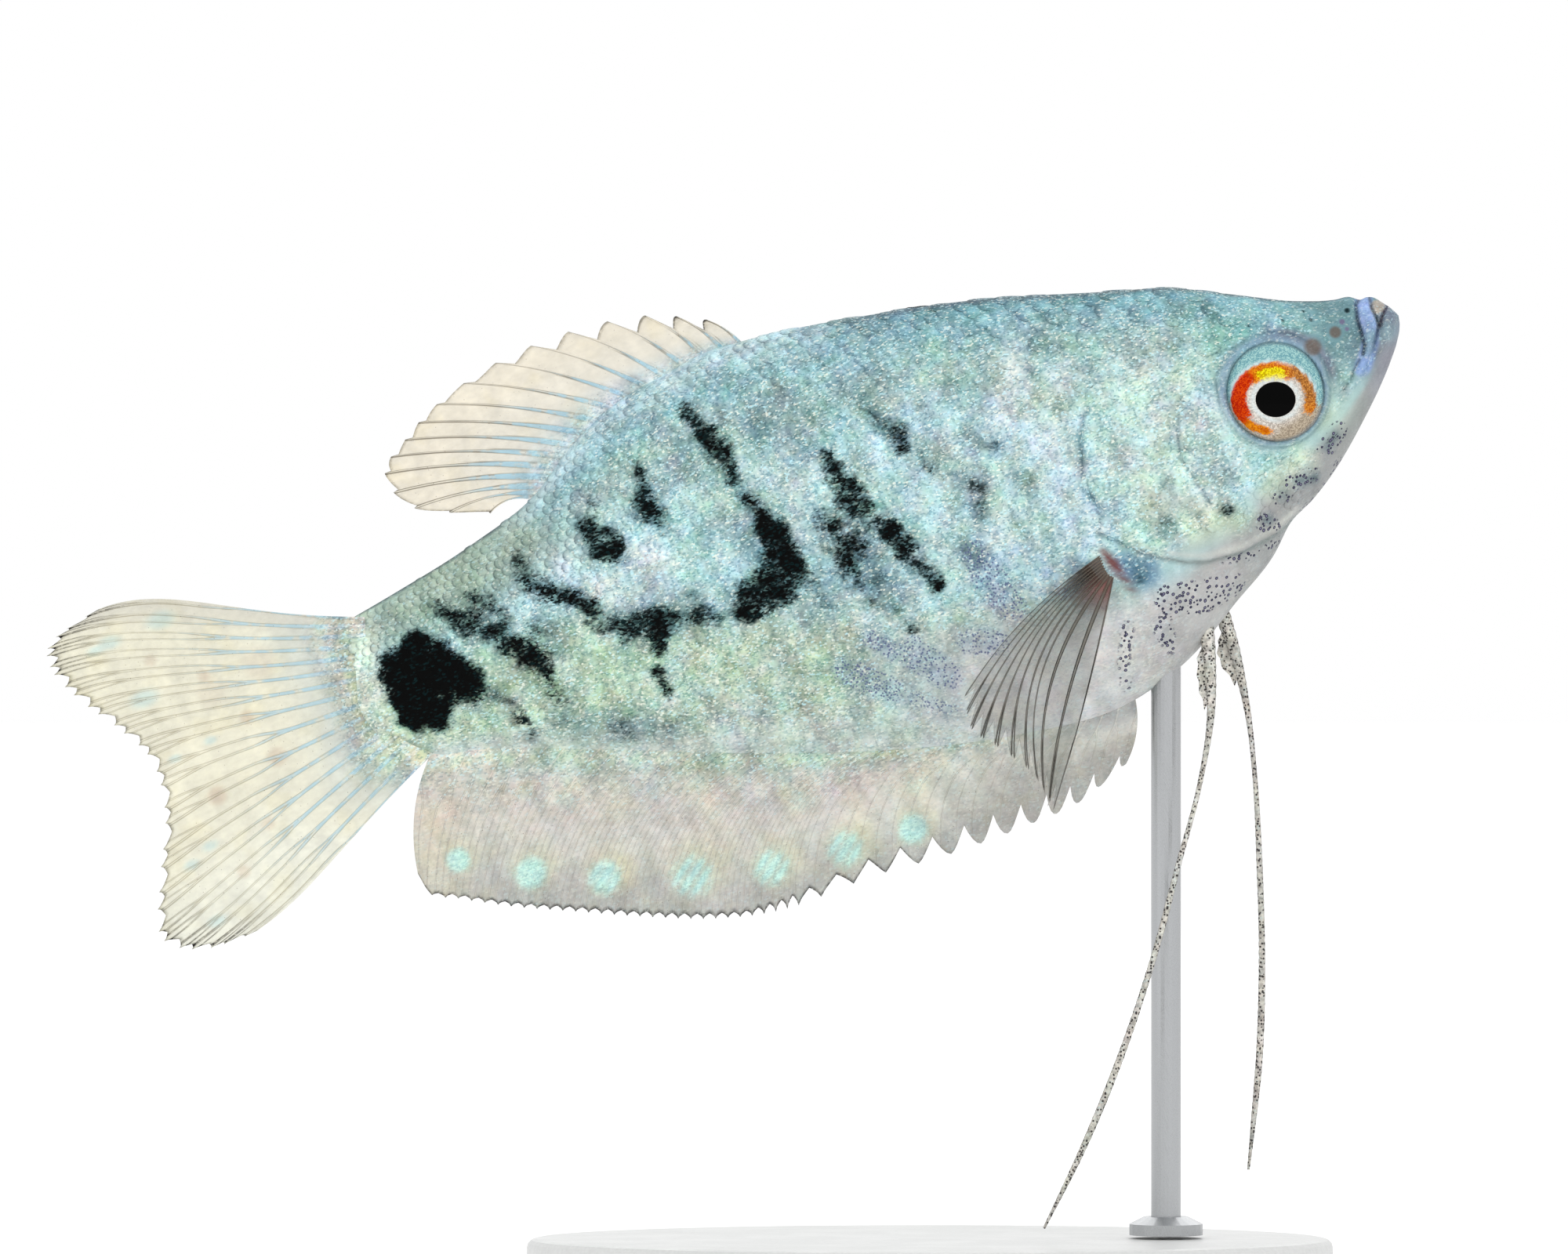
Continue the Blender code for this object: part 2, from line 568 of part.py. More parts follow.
def on_tail_end(up):
    """Where a ray of the tail fin starts, just clear of the end of the tail stem."""
    end = [(height, behind) for behind, height in ring_line(TAIL_STATION)]
    return float(read_line(end, up)) + SEAT_GAP, up


def on_shoulder(share):
    """Where a ray of a pectoral fin starts."""
    return tuple(np.array(PECTORAL_ROOT[0]) * (1 - share) + np.array(PECTORAL_ROOT[1]) * share)


def tail_sway(place, out):
    """How far the tail fin bends to the left, at a distance out from its root."""
    return TAIL_SWAY * out ** 2


def make_median_fins(membrane):
    """The dorsal, anal and tail fins, which stand in the fish's middle plane."""
    fin("dorsal_fin", DORSAL_RAYS, on_back, 17, 7, membrane, notch=0.06, notch_first=0.3, bow=DORSAL_BOW)
    fin("anal_fin", ANAL_RAYS, on_belly, 41, 6, membrane, notch=0.03, notch_first=0.3, ridge=0.14,
        bow=ANAL_BOW)
    tail = {"bow_power": 3, "branched": True, "notch": 0.03, "side_at": tail_sway}
    fin("caudal_fin_upper", CAUDAL_UPPER_RAYS, on_tail_end, 8, 9, membrane, bow=CAUDAL_UPPER_BOW, **tail)
    fin("caudal_fin_lower", CAUDAL_LOWER_RAYS, on_tail_end, 8, 9, membrane, bow=CAUDAL_LOWER_BOW, **tail)


def trim_to_belly(made):
    """Cuts away what lies inside the trunk or closer to it than the gap."""
    boolean(made, body_piece("belly_room", TORSO_STATIONS, grow=BELLY_SEAM), "DIFFERENCE")


def make_pectoral_fins(membrane):
    """The fins behind the gill covers, swept back and a little away from the flanks."""
    root_side = half_width(*on_shoulder(0.5)) + PECTORAL_ROOT_CLEAR
    for name, sign in (("pectoral_fin_right", -1), ("pectoral_fin_left", 1)):

        def beside(place, out, sign=sign):
            return sign * (root_side + PECTORAL_SPREAD * (out / 20) * (1 - 0.35 * place))

        made = fin(name, PECTORAL_RAYS, on_shoulder, 9, 8, membrane, root_half=0.45, notch=0.1,
                   bow=PECTORAL_BOW, side_at=beside)
        trim_to_belly(made)


def tube(name, points, half_widths, sides, colour=None, flatten=1.0):
    """A closed tapering tube along points of the world, as wide as each half width in metres."""
    bm = bmesh.new()
    rings = []
    for k, (point, half) in enumerate(zip(points, map(float, half_widths))):
        along = (points[min(k + 1, len(points) - 1)] - points[max(k - 1, 0)]).normalized()
        across = along.cross(Vector((0, 1, 0))).normalized()
        beside = across.cross(along)
        ring = []
        for n in range(sides):
            turn = 2 * math.pi * (n + 0.5) / sides
            outward = across * math.cos(turn) + beside * flatten * math.sin(turn)
            ring.append(bm.verts.new(point + half * outward))
        rings.append(ring)
    for ring, after in zip(rings, rings[1:]):
        for n in range(sides):
            m = (n + 1) % sides
            bm.faces.new((ring[n], ring[m], after[m], after[n]))
    bm.faces.new(rings[0])
    bm.faces.new(rings[-1])
    return make_object(name, bm, colour)


def fringe(name, route, reach):
    """The short soft rays behind the root of a feeler, as a small notched vane joined to it."""
    first = read_line(route, FRINGE_FIRST)
    last = read_line(route, FRINGE_LAST)
    starts = (first, first, last)
    keys = []
    for place, start, (tip_behind, tip_up) in zip((0.0, 0.5, 1.0), starts, FRINGE_TIPS):
        keys.append((place, place, start[0] + tip_behind * reach, start[1] + tip_up * reach))

    def on_feeler(share):
        return tuple(first[:2] * (1 - share) + last[:2] * share)

    def beside(place, out):
        return first[2] + (last[2] - first[2]) * place

    return fin(name, keys, on_feeler, 4, 3, root_half=0.28, tip_half=0.16, ridge=0.08, notch=0.25,
               side_at=beside)


def make_feelers(skin):
    """The long thread of each pelvic fin, in three lengths, trimmed to the belly at its root."""
    feelers = (("right", FEELER_RIGHT, FRINGE_REACH_RIGHT), ("left", FEELER_LEFT, FRINGE_REACH_LEFT))
    for side, middle_line, reach in feelers:
        points = np.array(middle_line)
        lengths = np.append(0, np.cumsum(np.linalg.norm(np.diff(points, axis=0), axis=1)))
        route = np.column_stack((lengths / lengths[-1], points))
        total = lengths[-1]
        for part, first, last in zip(("root", "middle", "tip"), FEELER_CUTS, FEELER_CUTS[1:]):
            first = first + (SEAM / 2 / total if first else 0)
            last = last - (SEAM / 2 / total if last < 1 else 0)
            places = np.linspace(first, last, 13 if part == "root" else 11)
            spots = [world(*spot) for spot in read_line(route, places)]
            halves = read_line(FEELER_HALF_WIDTHS, places) * HUNDREDTH
            made = tube(f"feeler_{side}_{part}", spots, halves, FEELER_SIDES, skin, flatten=FEELER_FLATTEN)
            if part == "root":
                boolean(made, fringe("fringe", route, reach), "UNION")
                trim_to_belly(made)


TORSO_STATIONS = [GILL_STATION] + stations_between(34.4, WAIST_STATION, 18)
TAIL_STATIONS = stations_between(WAIST_STATION, TAIL_STATION, 12)


def make_body(skin):
    """The trunk behind the gill opening and the tail, parted by a thin straight seam."""
    torso = body_piece("torso", TORSO_STATIONS, seam_first=HALF_SEAM, seam_last=HALF_SEAM, colour=skin)
    socket = rod_solid("rod_socket", ROD_RADIUS + GAP, GAP)
    boolean(torso, socket, "DIFFERENCE")
    body_piece("tail_stem", TAIL_STATIONS, seam_first=HALF_SEAM, colour=skin)


def rod_top():
    """The height at which the rod ends, inside the belly."""
    return world(*ROD_TOP_PLACE, 0).z + ROD_SINK


def rod_solid(name, radius, longer, colour=None):
    """The upright rod, or the round hole that it stands in."""
    top = rod_top() + longer
    points = [Vector((ROD_X, 0, z)) for z in (BASE_TOP + GAP, top)]
    return tube(name, points, [radius, radius], ROD_SIDES, colour)


def make_stand(metal, base_colour):
    """A flat oval base with one rod up into the belly and a low collar round the rod's foot."""
    bm = bmesh.new()
    outline = []
    for k in range(BASE_SIDES):
        turn = 2 * math.pi * k / BASE_SIDES
        x = BASE_CENTRE_X + BASE_HALF_LENGTH * math.cos(turn)
        outline.append(bm.verts.new((x, BASE_HALF_WIDTH * math.sin(turn), 0)))
    floor_face = bm.faces.new(outline)
    raised = bmesh.ops.extrude_face_region(bm, geom=[floor_face])
    top = {piece for piece in raised["geom"] if isinstance(piece, bmesh.types.BMVert)}
    bmesh.ops.translate(bm, verts=list(top), vec=(0, 0, BASE_TOP))
    rim = [edge for edge in bm.edges if top.issuperset(edge.verts)]
    bmesh.ops.bevel(bm, geom=rim, offset=BASE_BEVEL, segments=3, profile=0.5, affect="EDGES")
    make_object("stand_base", bm, base_colour)
    rod = rod_solid("stand_rod", ROD_RADIUS, 0.0, metal)
    heights = (0, COLLAR_HEIGHT * COLLAR_TOP_SHARE, COLLAR_HEIGHT)
    radii = (COLLAR_RADIUS, COLLAR_RADIUS, COLLAR_RADIUS * COLLAR_TOP_SHARE)
    collar = tube("collar", [Vector((ROD_X, 0, BASE_TOP + GAP + z)) for z in heights], radii, ROD_SIDES)
    boolean(rod, collar, "UNION")


def clear_scene():
    """Empties the scene."""
    for old in list(bpy.data.objects):
        bpy.data.objects.remove(old)


def build():
    """The whole model."""
    clear_scene()
    skin = material("skin", (0.42, 0.68, 0.70), 0.35, 0.2)
    membrane = material("fin_membrane", (0.80, 0.76, 0.68), 0.45)
    eye = material("eye", (0.80, 0.33, 0.08), 0.15)
    metal = material("stand_metal", (0.72, 0.73, 0.74), 0.3, 1.0)
    base_colour = material("stand_base", (0.86, 0.86, 0.85), 0.45)
    make_head(skin)
    for side, sign in (("right", -1), ("left", 1)):
        eye_ball(f"eye_{side}", sign, 0.0, eye)
        gill_plate(f"gill_cover_{side}", sign, 0.0, GILL_COVER_DEPTH, GILL_COVER_PROUD, skin)
    make_body(skin)
    make_median_fins(membrane)
    make_pectoral_fins(membrane)
    make_feelers(membrane)
    make_stand(metal, base_colour)


build()
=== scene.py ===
"""The looks of the blue gourami model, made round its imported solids.

As in the solids, "behind" is the distance behind the tip of the snout, "up" the height over the line from
there to the root of the tail fin and "side" the distance from the fish's middle plane, all in hundredths of
its standard length. Colours are given as on a screen, from 0 to 255.
"""

import math

import bmesh
import bpy
import numpy as np
from mathutils import Matrix, Vector

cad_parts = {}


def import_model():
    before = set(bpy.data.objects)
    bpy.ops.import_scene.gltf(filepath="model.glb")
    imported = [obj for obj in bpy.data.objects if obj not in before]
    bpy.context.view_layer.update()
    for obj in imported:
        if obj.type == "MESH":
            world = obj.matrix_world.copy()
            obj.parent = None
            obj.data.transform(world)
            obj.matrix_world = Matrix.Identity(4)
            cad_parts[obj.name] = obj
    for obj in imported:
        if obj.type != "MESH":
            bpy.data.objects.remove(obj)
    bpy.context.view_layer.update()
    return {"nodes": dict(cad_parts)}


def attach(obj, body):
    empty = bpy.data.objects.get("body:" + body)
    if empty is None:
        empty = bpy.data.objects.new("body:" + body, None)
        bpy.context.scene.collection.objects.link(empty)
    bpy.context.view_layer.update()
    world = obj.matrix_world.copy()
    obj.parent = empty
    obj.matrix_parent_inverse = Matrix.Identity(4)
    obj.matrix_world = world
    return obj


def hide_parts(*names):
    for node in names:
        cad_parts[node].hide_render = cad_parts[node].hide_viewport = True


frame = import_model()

draw = np.random.default_rng(7)

# Driving dimensions, in metres and radians, as in the solids
STANDARD_LENGTH = 0.095
PITCH = math.radians(19.24)
BASE_TOP = 0.005
SNOUT_FORWARD = 0.05876
SNOUT_ABOVE_BASE = 0.08016
HUNDREDTH = STANDARD_LENGTH / 100
HUNDREDTH_MM = HUNDREDTH * 1000
SIDES = (("right", -1), ("left", 1))

# The fish's outline from the side, as (behind, up)
BACK_LINE = [
    (0.09, 0.03), (0.58, 0.98), (1.15, 1.71), (1.61, 2.28), (2.3, 2.62), (2.95, 2.6), (3.78, 3.16),
    (5.06, 3.35), (8.68, 4.47), (13.57, 6.78), (18.45, 9.09), (25.3, 11.12), (35.7, 14.05), (46.3, 16.14),
    (57.2, 17.6), (61.2, 17.75), (65, 17.1), (70.4, 16), (74.9, 13.95), (80.1, 10.55), (87, 8.2),
    (95.3, 6.3), (102, 5),
]
BELLY_LINE = [
    (0.09, 0.03), (0.19, -0.6), (0.39, -1.18), (0.93, -2.15), (2.16, -3.78), (3.78, -5.6), (6.21, -8),
    (10.56, -11.75), (13, -13.35), (15.7, -14.75), (17.9, -16.85), (22.85, -20), (28.07, -23.2),
    (34.3, -25.3), (46.2, -24.7), (56.05, -22.55), (69.7, -18.16), (83.1, -13.11), (93.3, -9.7),
    (97.2, -9.15), (102, -9.1),
]

# The body's thickness: (behind, half width, height of the widest place, pinch of the lower half)
GIRTH = [
    (0.09, 0.2, 0, 0), (0.4, 1, -0.1, 0), (1, 1.75, -0.3, 0), (2, 2.45, -0.8, 0), (3.4, 3, -1.2, 0),
    (5.5, 3.7, -2.2, 0), (9, 4.8, -3.2, 0), (13.5, 5.9, -3.8, 0), (20, 6.9, -4.6, 0), (27, 7.6, -5.2, 0),
    (35, 7.9, -5, 0.25), (45, 7.5, -3.8, 0.75), (60, 6.2, -2.4, 1), (75, 4.5, -1.6, 1),
    (90, 2.9, -1.6, 0.8), (102, 1.6, -2, 0.5),
]

# How the rings round the body lean and bow: (behind at the side, lean of the top, lean of the bottom, sag)
RING_LAYOUT = [
    (0.12, 0, 0, 0), (3, -0.2, -0.2, 0), (9, -0.8, -1.2, 0), (15, -1.6, -4, 0.4), (24, -3.4, -10, 1.8),
    (32.4, -6.6, -16.7, 3.3), (36, -6, -15, 2.8), (45, -3, -8, 0.9), (58, 0, -2.5, 0), (75, 0, 0, 0),
    (90, 0, -1, 0), (101.6, -2.1, -4.3, 0),
]
RING_SIDE_UP = [
    (0.12, 0.03), (5, -2), (10, -3.4), (20, -4.8), (32.4, -5.9), (45, -4.2), (60, -2.4), (80, -1.6),
    (101.6, -2.2),
]
BOTTOM_LEAN_POWER = 2.2
EDGE_HALF = 0.18
FIN_SEAT_HALF = 0.55
DORSAL_SEAT = (57.0, 80.5)
ANAL_SEAT = (33.6, 97.5)

# Lines of the head, as (behind, up)
MOUTH_LINE = [
    (0.75, 1.05), (1.56, 0.5), (2.16, -0.25), (2.57, -0.92), (3.31, -1.9), (4.2, -3.4), (4.9, -4.8),
]
LIP_GROOVE = [(2.99, 2.65), (3.55, 2.15), (3.91, 0.76), (3.96, -0.49), (4.09, -1.58), (4.5, -2.3)]
JAW_CREASE = [(4.98, -2.66), (5.89, -3.48), (6.2, -4.01), (7.23, -4.78)]
LIP_FRONT = [
    (2.05, 2.75), (2.19, 2.05), (2.31, 1.34), (2.21, 0.54), (2.22, -0.21), (2.53, -0.73), (3.21, -1.76),
    (3.96, -3.02), (4.88, -4.21),
]
LIP_MIDDLE = [(2.6, 2.5), (2.95, 1.75), (3.1, 0.65), (3.1, -0.35), (3.4, -1.3), (4.1, -2.4), (5, -3.6)]
LOWER_LIP_FOLD = [(0.66, 1.3), (0.9, 1.04), (1.32, 0.74), (1.88, 0.05), (2.13, -0.37)]
LOWER_LIP_MIDDLE = [(0.75, 0.5), (1.2, -0.3), (1.7, -1.3), (2.3, -2.3)]
PALE_WEDGE = (1.72, 1.3)
GILL_EDGE = [
    (29.9, 1.1), (30.7, 0.3), (31.5, -1.6), (32.1, -3.8), (32.4, -5.7), (31.9, -7.4), (32.7, -9.7),
    (31.5, -10.8), (30.1, -12.2), (28.2, -13.6), (26.1, -14.8), (24.4, -15.4), (20.9, -15.7), (17.4, -15.2),
    (15, -14.3),
]
CHEEK_FOLD = [(22.4, -2.2), (23, -3.7), (23.5, -5.7), (23.1, -7.3), (22.6, -9), (22.2, -10.6)]
LIP_SWELL = 0.4
LIP_WIDTH = 0.75
EYE_CENTRE = (13.32, -2.94)
EYE_RADIUS = 4.45
NOSTRILS = [(4.5, 1.95, 0.26)]
BROWN_SPOTS = [(6.23, 0.43, 0.55), (8.66, -0.18, 0.8)]
VIOLET_SPOTS = [(5.3, 1.12, 0.26), (5.12, 0.36, 0.2)]
PORES = [
    (7.89, 2.21, 0.17), (10.4, 3, 0.14), (13.6, 3.6, 0.14), (17.2, 2.4, 0.13), (19.4, -0.6, 0.14),
    (8.3, 3.2, 0.12), (16, 4.6, 0.12),
]

# Skin: how far it lies inside the solids, and how finely it is divided
SKIN_INSET = 0.09
HEAD_REACH, CHEEK_END, SKIN_END = (0.14, 8.0), 35.0, 101.5
NOSE_POINT, END_POINT = (0.09, 0.03), (99.9, -2.2)
HEAD_RINGS, CHEEK_RINGS, TRUNK_RINGS = 64, 110, 140
SIDE_POINTS = 150

# Black marks, as chains of (behind, up, radius) with the softness of their edge and their strength. The edge
# reaches in by a share of its softness, and a chain of one circle is drawn as one with a very near end.
CHAIN_CORE = 0.7
CHAIN_END = 0.01
BLOTCHES = [
    (1.4, 1.35, [(94.7, 1, 1.1), (96, -1.8, 2.4), (96.4, -4.5, 1.8), (95.2, -5.4, 1.2)]),
    (1.4, 1.3, [(96, -1.8, 2.3), (93.4, -1.3, 1.5), (91.6, -3.6, 1.5)]),
    (1.3, 1.2, [(97.3, 0.7, 0.6), (97, -0.8, 1.2)]), (1.4, 1.25, [(95.8, -3.2, 1.6), (94, -3.9, 1.3)]),
    (1.4, 1.1, [(94.5, 1.2, 0.9), (93.2, 0.2, 1)]),
    (1.5, 0.8, [(91.5, 3.5, 0.4), (89.5, 1.2, 0.9), (86.8, -0.3, 1)]),
    (1.6, 0.66, [(86.6, -1.3, 0.9), (84.7, -4.3, 0.7), (83.9, -7.9, 0.3)]),
    (1.6, 0.42, [(87.9, -8.2, 0.6), (87.3, -9.9, 0.5)]),
    (1.1, 0.75, [(89, 3.9, 0.3), (87.4, 2.9, 0.5), (86.6, 1.4, 0.6)]),
    (1.6, 0.5, [(84.5, -0.5, 0.6), (82.9, -3, 0.9)]),
    (1.3, 0.82, [(83.4, 5.5, 0.4), (82.9, 3.5, 0.8), (81.8, 1.5, 0.8), (79.6, 0, 0.7), (77.9, -2.1, 0.85)]),
    (1.4, 0.85, [(77.9, -2.1, 0.7), (76, -3.7, 1.1), (73.6, -4.5, 1.5), (73.7, -6.1, 0.8)]),
    (1.6, 0.72, [(73.6, -4.5, 1.2), (69.7, -4.2, 1.1), (67.9, -5.6, 0.5)]),
    (1.2, 0.95, [(61.4, 3, 0.6), (60.9, 1.1, 0.9), (60.5, -1.5, 1.4), (61.1, -3.9, 2.1),
                 (63.8, -4.7, 1.7), (65.3, -6, 0.9)]),
    (1.6, 0.66, [(61.1, -3.9, 1.6), (59.1, -5.6, 0.8)]), (1.2, 0.52, [(59.3, -5.4, 0.5), (58, -8, 0.4)]),
    (1, 0.9, [(64.4, 13.3, 0.3), (63.8, 11.2, 0.6), (62.9, 9, 1.2), (62.4, 6.9, 0.5)]),
    (1, 0.8, [(62.5, 7, 0.5), (61.9, 3.6, 0.5)]),
    (1.1, 0.9, [(76.5, 6.8, 0.8), (75.6, 4.5, 1.5), (74.7, 2.9, 0.7)]),
    (1.3, 0.8, [(71, 7.3, 0.5), (70.7, 5.5, 1.2), (70.2, 4.3, 0.7)]),
    (1, 0.82, [(70.2, 9.8, 0.5), (70.5, 7.3, 0.6)]), (1, 0.7, [(75.4, 8.3, 0.2), (75.7, 6, 0.9)]),
    (0.8, 0.7, [(74.8, -8.3, 0.35), (74.5, -9.5, 0.4), (74.3, -10.8, 0.35)]),
    (1.3, 0.82, [(53.5, 5.2, 0.3), (53.4, 3, 0.9), (52.9, 0.9, 1.4), (51.7, -1.7, 1), (50.3, -4.4, 0.9),
                 (49.1, -7, 0.5), (48.1, -9.2, 0.35)]),
    (1.6, 0.7, [(55.9, 0.1, 0.6), (55.1, -1.6, 1), (55, -5.1, 1), (54.2, -8.7, 0.6)]),
    (2, 0.5, [(55, -2.1, 1.2), (53.4, -4.6, 1.6), (53.6, -7.8, 1)]),
    (1.1, 0.55, [(54.2, -8.2, 0.4), (53.6, -9.6, 0.3)]),
    (1.1, 0.5, [(52.3, -10.2, 0.3), (51.4, -12.3, 0.4)]),
    (1.3, 0.78, [(49, 8.1, 0.2), (48.2, 6.2, 0.5), (47.1, 4.9, 0.6), (47.2, 3.4, 0.3)]),
    (1, 0.45, [(45.5, 2.1, 0.3), (45.1, 0.6, 0.3)]), (1, 0.5, [(26.6, -11.2, 0.5)]),
    (0.9, 0.52, [(20.9, -11.5, 0.4)]), (0.9, 0.42, [(25.2, -7.3, 0.4)]),
]
BLOTCH_GROWTH = 0.12

# Grey-blue shades under the surface, drawn as the black marks are
SHADES = [
    (2, 0.68, [(84, -10, 0.9), (79.6, -12.1, 1.3), (75, -13.9, 0.9)]),
    (1.6, 0.8, [(83.3, -1.6, 1), (82.8, -3.4, 0.8)]), (1.4, 0.7, [(88, -6.6, 0.5), (89.5, -5.4, 0.5)]),
    (3, 0.5, [(62, -1, 2.4), (59, -7.5, 1.6)]), (2.4, 0.7, [(54.6, -2, 1.6), (52.8, -8, 1.4)]),
    (1.6, 0.6, [(55.6, -0.5, 0.7), (54, -4.5, 0.8), (52.6, -9.5, 0.8)]),
    (3, 0.4, [(88, 0.5, 2), (84.5, -6, 1.2)]), (3, 0.5, [(75, -4, 2), (68, -5, 1.5)]),
    (1.2, 0.7, [(48.4, 8.8, 0.5), (47.8, 6.4, 0.6), (46.5, 4.5, 0.6)]),
    (1, 0.6, [(45.4, 2, 0.4), (44.4, -0.1, 0.5)]),
    (1.2, 0.75, [(42.5, -0.8, 0.5), (41.7, -2.5, 0.8), (42.2, -4.5, 0.6)]),
    (1, 0.65, [(41.6, 2.8, 0.4), (38.8, 0.6, 0.6)]), (1, 0.55, [(37.3, -3.3, 0.6)]),
    (1, 0.5, [(50.5, 10.9, 0.6)]), (1.4, 0.5, [(58.8, 9.6, 0.8), (57.9, 10.3, 0.5)]),
    (1.4, 0.45, [(37.6, 7.1, 0.5), (38.6, 4.6, 0.5)]), (1.2, 0.85, [(44.7, -7.1, 0.6), (43.8, -8.5, 0.5)]),
    (2, 0.45, [(65.5, 10.5, 0.8), (66.5, 7.5, 0.8)]), (2, 0.4, [(56.5, 12, 1), (55, 6, 1.2)]),
    (0.8, 0.8, [(9.3, -8.4, 0.3), (10.4, -9.2, 0.3)]), (0.8, 0.8, [(12.4, -11.4, 0.3), (13.7, -11.3, 0.4)]),
    (0.7, 0.75, [(17.7, -13.6, 0.4)]), (0.8, 0.5, [(15.7, -12.1, 0.4)]), (0.9, 0.75, [(20.9, -11.5, 0.4)]),
    (1.2, 0.7, [(26.6, -11.2, 0.6)]), (1, 0.45, [(25.5, -7.5, 0.5)]), (1, 0.6, [(30.6, -14.9, 0.5)]),
]
VIOLET_PATCHES = [
    (1.2, 0.9, [(44, -7.6, 0.9), (43.4, -10.6, 1.5), (42.3, -13.5, 1.1)]),
    (1.2, 0.8, [(55.3, -12, 0.8), (53.8, -13.9, 0.7)]),
    (1.2, 0.9, [(52.1, -14.4, 1.3), (49.9, -17.5, 1.2)]), (1.2, 0.9, [(47, -15.2, 1), (44.6, -16.2, 1)]),
    (1.4, 0.8, [(58.4, -14, 1.2), (55.2, -17, 1.1)]), (1.4, 0.6, [(53.4, -18.4, 0.9), (50.4, -20.6, 0.7)]),
    (0.8, 0.7, [(37.7, -14, 0.6), (35.6, -13.6, 0.6)]),
]
DOT_PATCHES = [
    (0.8, 1, [(8.9, -8.1, 0.7), (10.6, -9.2, 0.8)]),
    (0.8, 1, [(12.5, -11.1, 0.6), (14.5, -11.2, 0.6), (16, -12.2, 0.6)]),
    (0.8, 1, [(18, -13.9, 0.8), (17.4, -14.4, 0.6)]),
    (0.8, 0.8, [(9.6, -10.9, 0.4), (11.7, -12.8, 0.4), (14.3, -14.2, 0.4)]),
    (0.8, 0.7, [(17.3, -15.8, 0.4), (19.7, -16.3, 0.5), (22.6, -15.9, 0.4)]),
    (1, 1, [(28.5, -17.6, 1.3), (25.7, -18.3, 1.4), (22.5, -18.2, 0.9)]),
    (1, 0.8, [(30, -19.7, 0.9), (29.8, -21.7, 0.7)]),
    (1, 0.7, [(33, -18.7, 0.7), (34.3, -21.6, 0.7), (34.8, -23.8, 0.6)]),
]
GREEN_PATCHES = [
    (1.6, 1, [(13, -9.4, 0.8), (16.5, -10.6, 0.8)]), (1.6, 0.9, [(20, -12.6, 0.8), (24.5, -12.2, 1)]),
    (1.6, 0.8, [(28, -9.5, 0.8), (27.5, -6, 0.6)]), (1.5, 0.7, [(18.5, 2.5, 0.7), (21.5, 0.5, 0.7)]),
    (2.4, 0.6, [(79.5, -3, 1), (78, -6.5, 1.4)]), (2.4, 0.5, [(71, -8.1, 1.6), (66.5, -9.5, 1.4)]),
]
GREY_PATCHES = [
    (2.2, 0.9, [(24.6, -12.9, 0.9), (22, -12.6, 0.7)]), (1.6, 0.7, [(14.6, -9.9, 0.5), (17.4, -11.6, 0.5)]),
    (2, 0.7, [(26.2, -9.2, 0.7), (22.8, -11.4, 0.9)]),
]
BLUE_PATCH = [(1.2, 1, [(31.6, -13.2, 0.9), (30, -14.6, 1.2)])]

# Eyes: the ball is a little wider than what shows of it
EYE_BALL_RADIUS = 4.85
EYE_DEPTH_HALF = 2.4
EYE_CENTRE_SIDE = 4.35
EYE_RINGS, EYE_AROUND = 39, 72

# Scales: the length that shows of each, as (behind, length), and their width for that length
SCALE_PITCHES = [
    (12, 1.75), (22, 1.85), (30, 1.7), (40, 1.4), (50, 1.25), (60, 1.12), (75, 0.95), (88, 0.84),
    (100.4, 0.74),
]
FACE_SCALE_PITCHES = [(10, 0.8), (20, 1), (33, 1.2)]
SCALE_WIDTH = 1.05
SCALE_RIM_POINTS = 14
SCALE_INNER_RING = 0.62
# Shares of that length: how far a scale reaches from its middle along the fish and across, and how much wider
# it is behind than in front; then its lift in metres, shares of that lift, and its patch on the unwrap
SCALE_REACH, SCALE_HALF_WIDTH, SCALE_FLARE = 0.88, 0.62, 0.05
SCALE_LIFT = 0.00006
LIFT_MIDDLE, LIFT_TILT, LIFT_LIMITS = 0.55, 0.75, (-0.3, 1.0)
LIFT_DOME, DOME_FRONT, LIFT_BOTTOM, LIFT_RANGE = 0.35, -0.6, -1.2, (0.75, 1.25)
SCALE_PATCH = 0.003
ROWS_PER_SIDE = 36
ARC_REACH = 30.0
ARC_STEP = 0.15
ARC_STEPS = 120
UNWRAP_START, UNWRAP_LENGTH, UNWRAP_HEIGHT = 0.01, 104, 2.1 * ARC_REACH
SLOPE_STEP = 0.25
BELLY_MARGIN, BACK_MARGIN = 0.9, 0.75
ROW_SHAKE, LINE_SHAKE = 0.04, 0.05

# Where scales grow: past the gill cover's edge or over the nape on the trunk, and on the cover and the cheek
COVER_END, TRUNK_END, BREAST_END = 33.4, 100.3, 52
NAPE_START, NAPE_BOTTOM, NAPE_FROM_EYE = 14.0, 1.9, 7.2
FACE_START, FACE_END, FACE_BOTTOM, FACE_TOP, FACE_FROM_EYE = 11.0, 32.0, -15, 1.5, 6.2

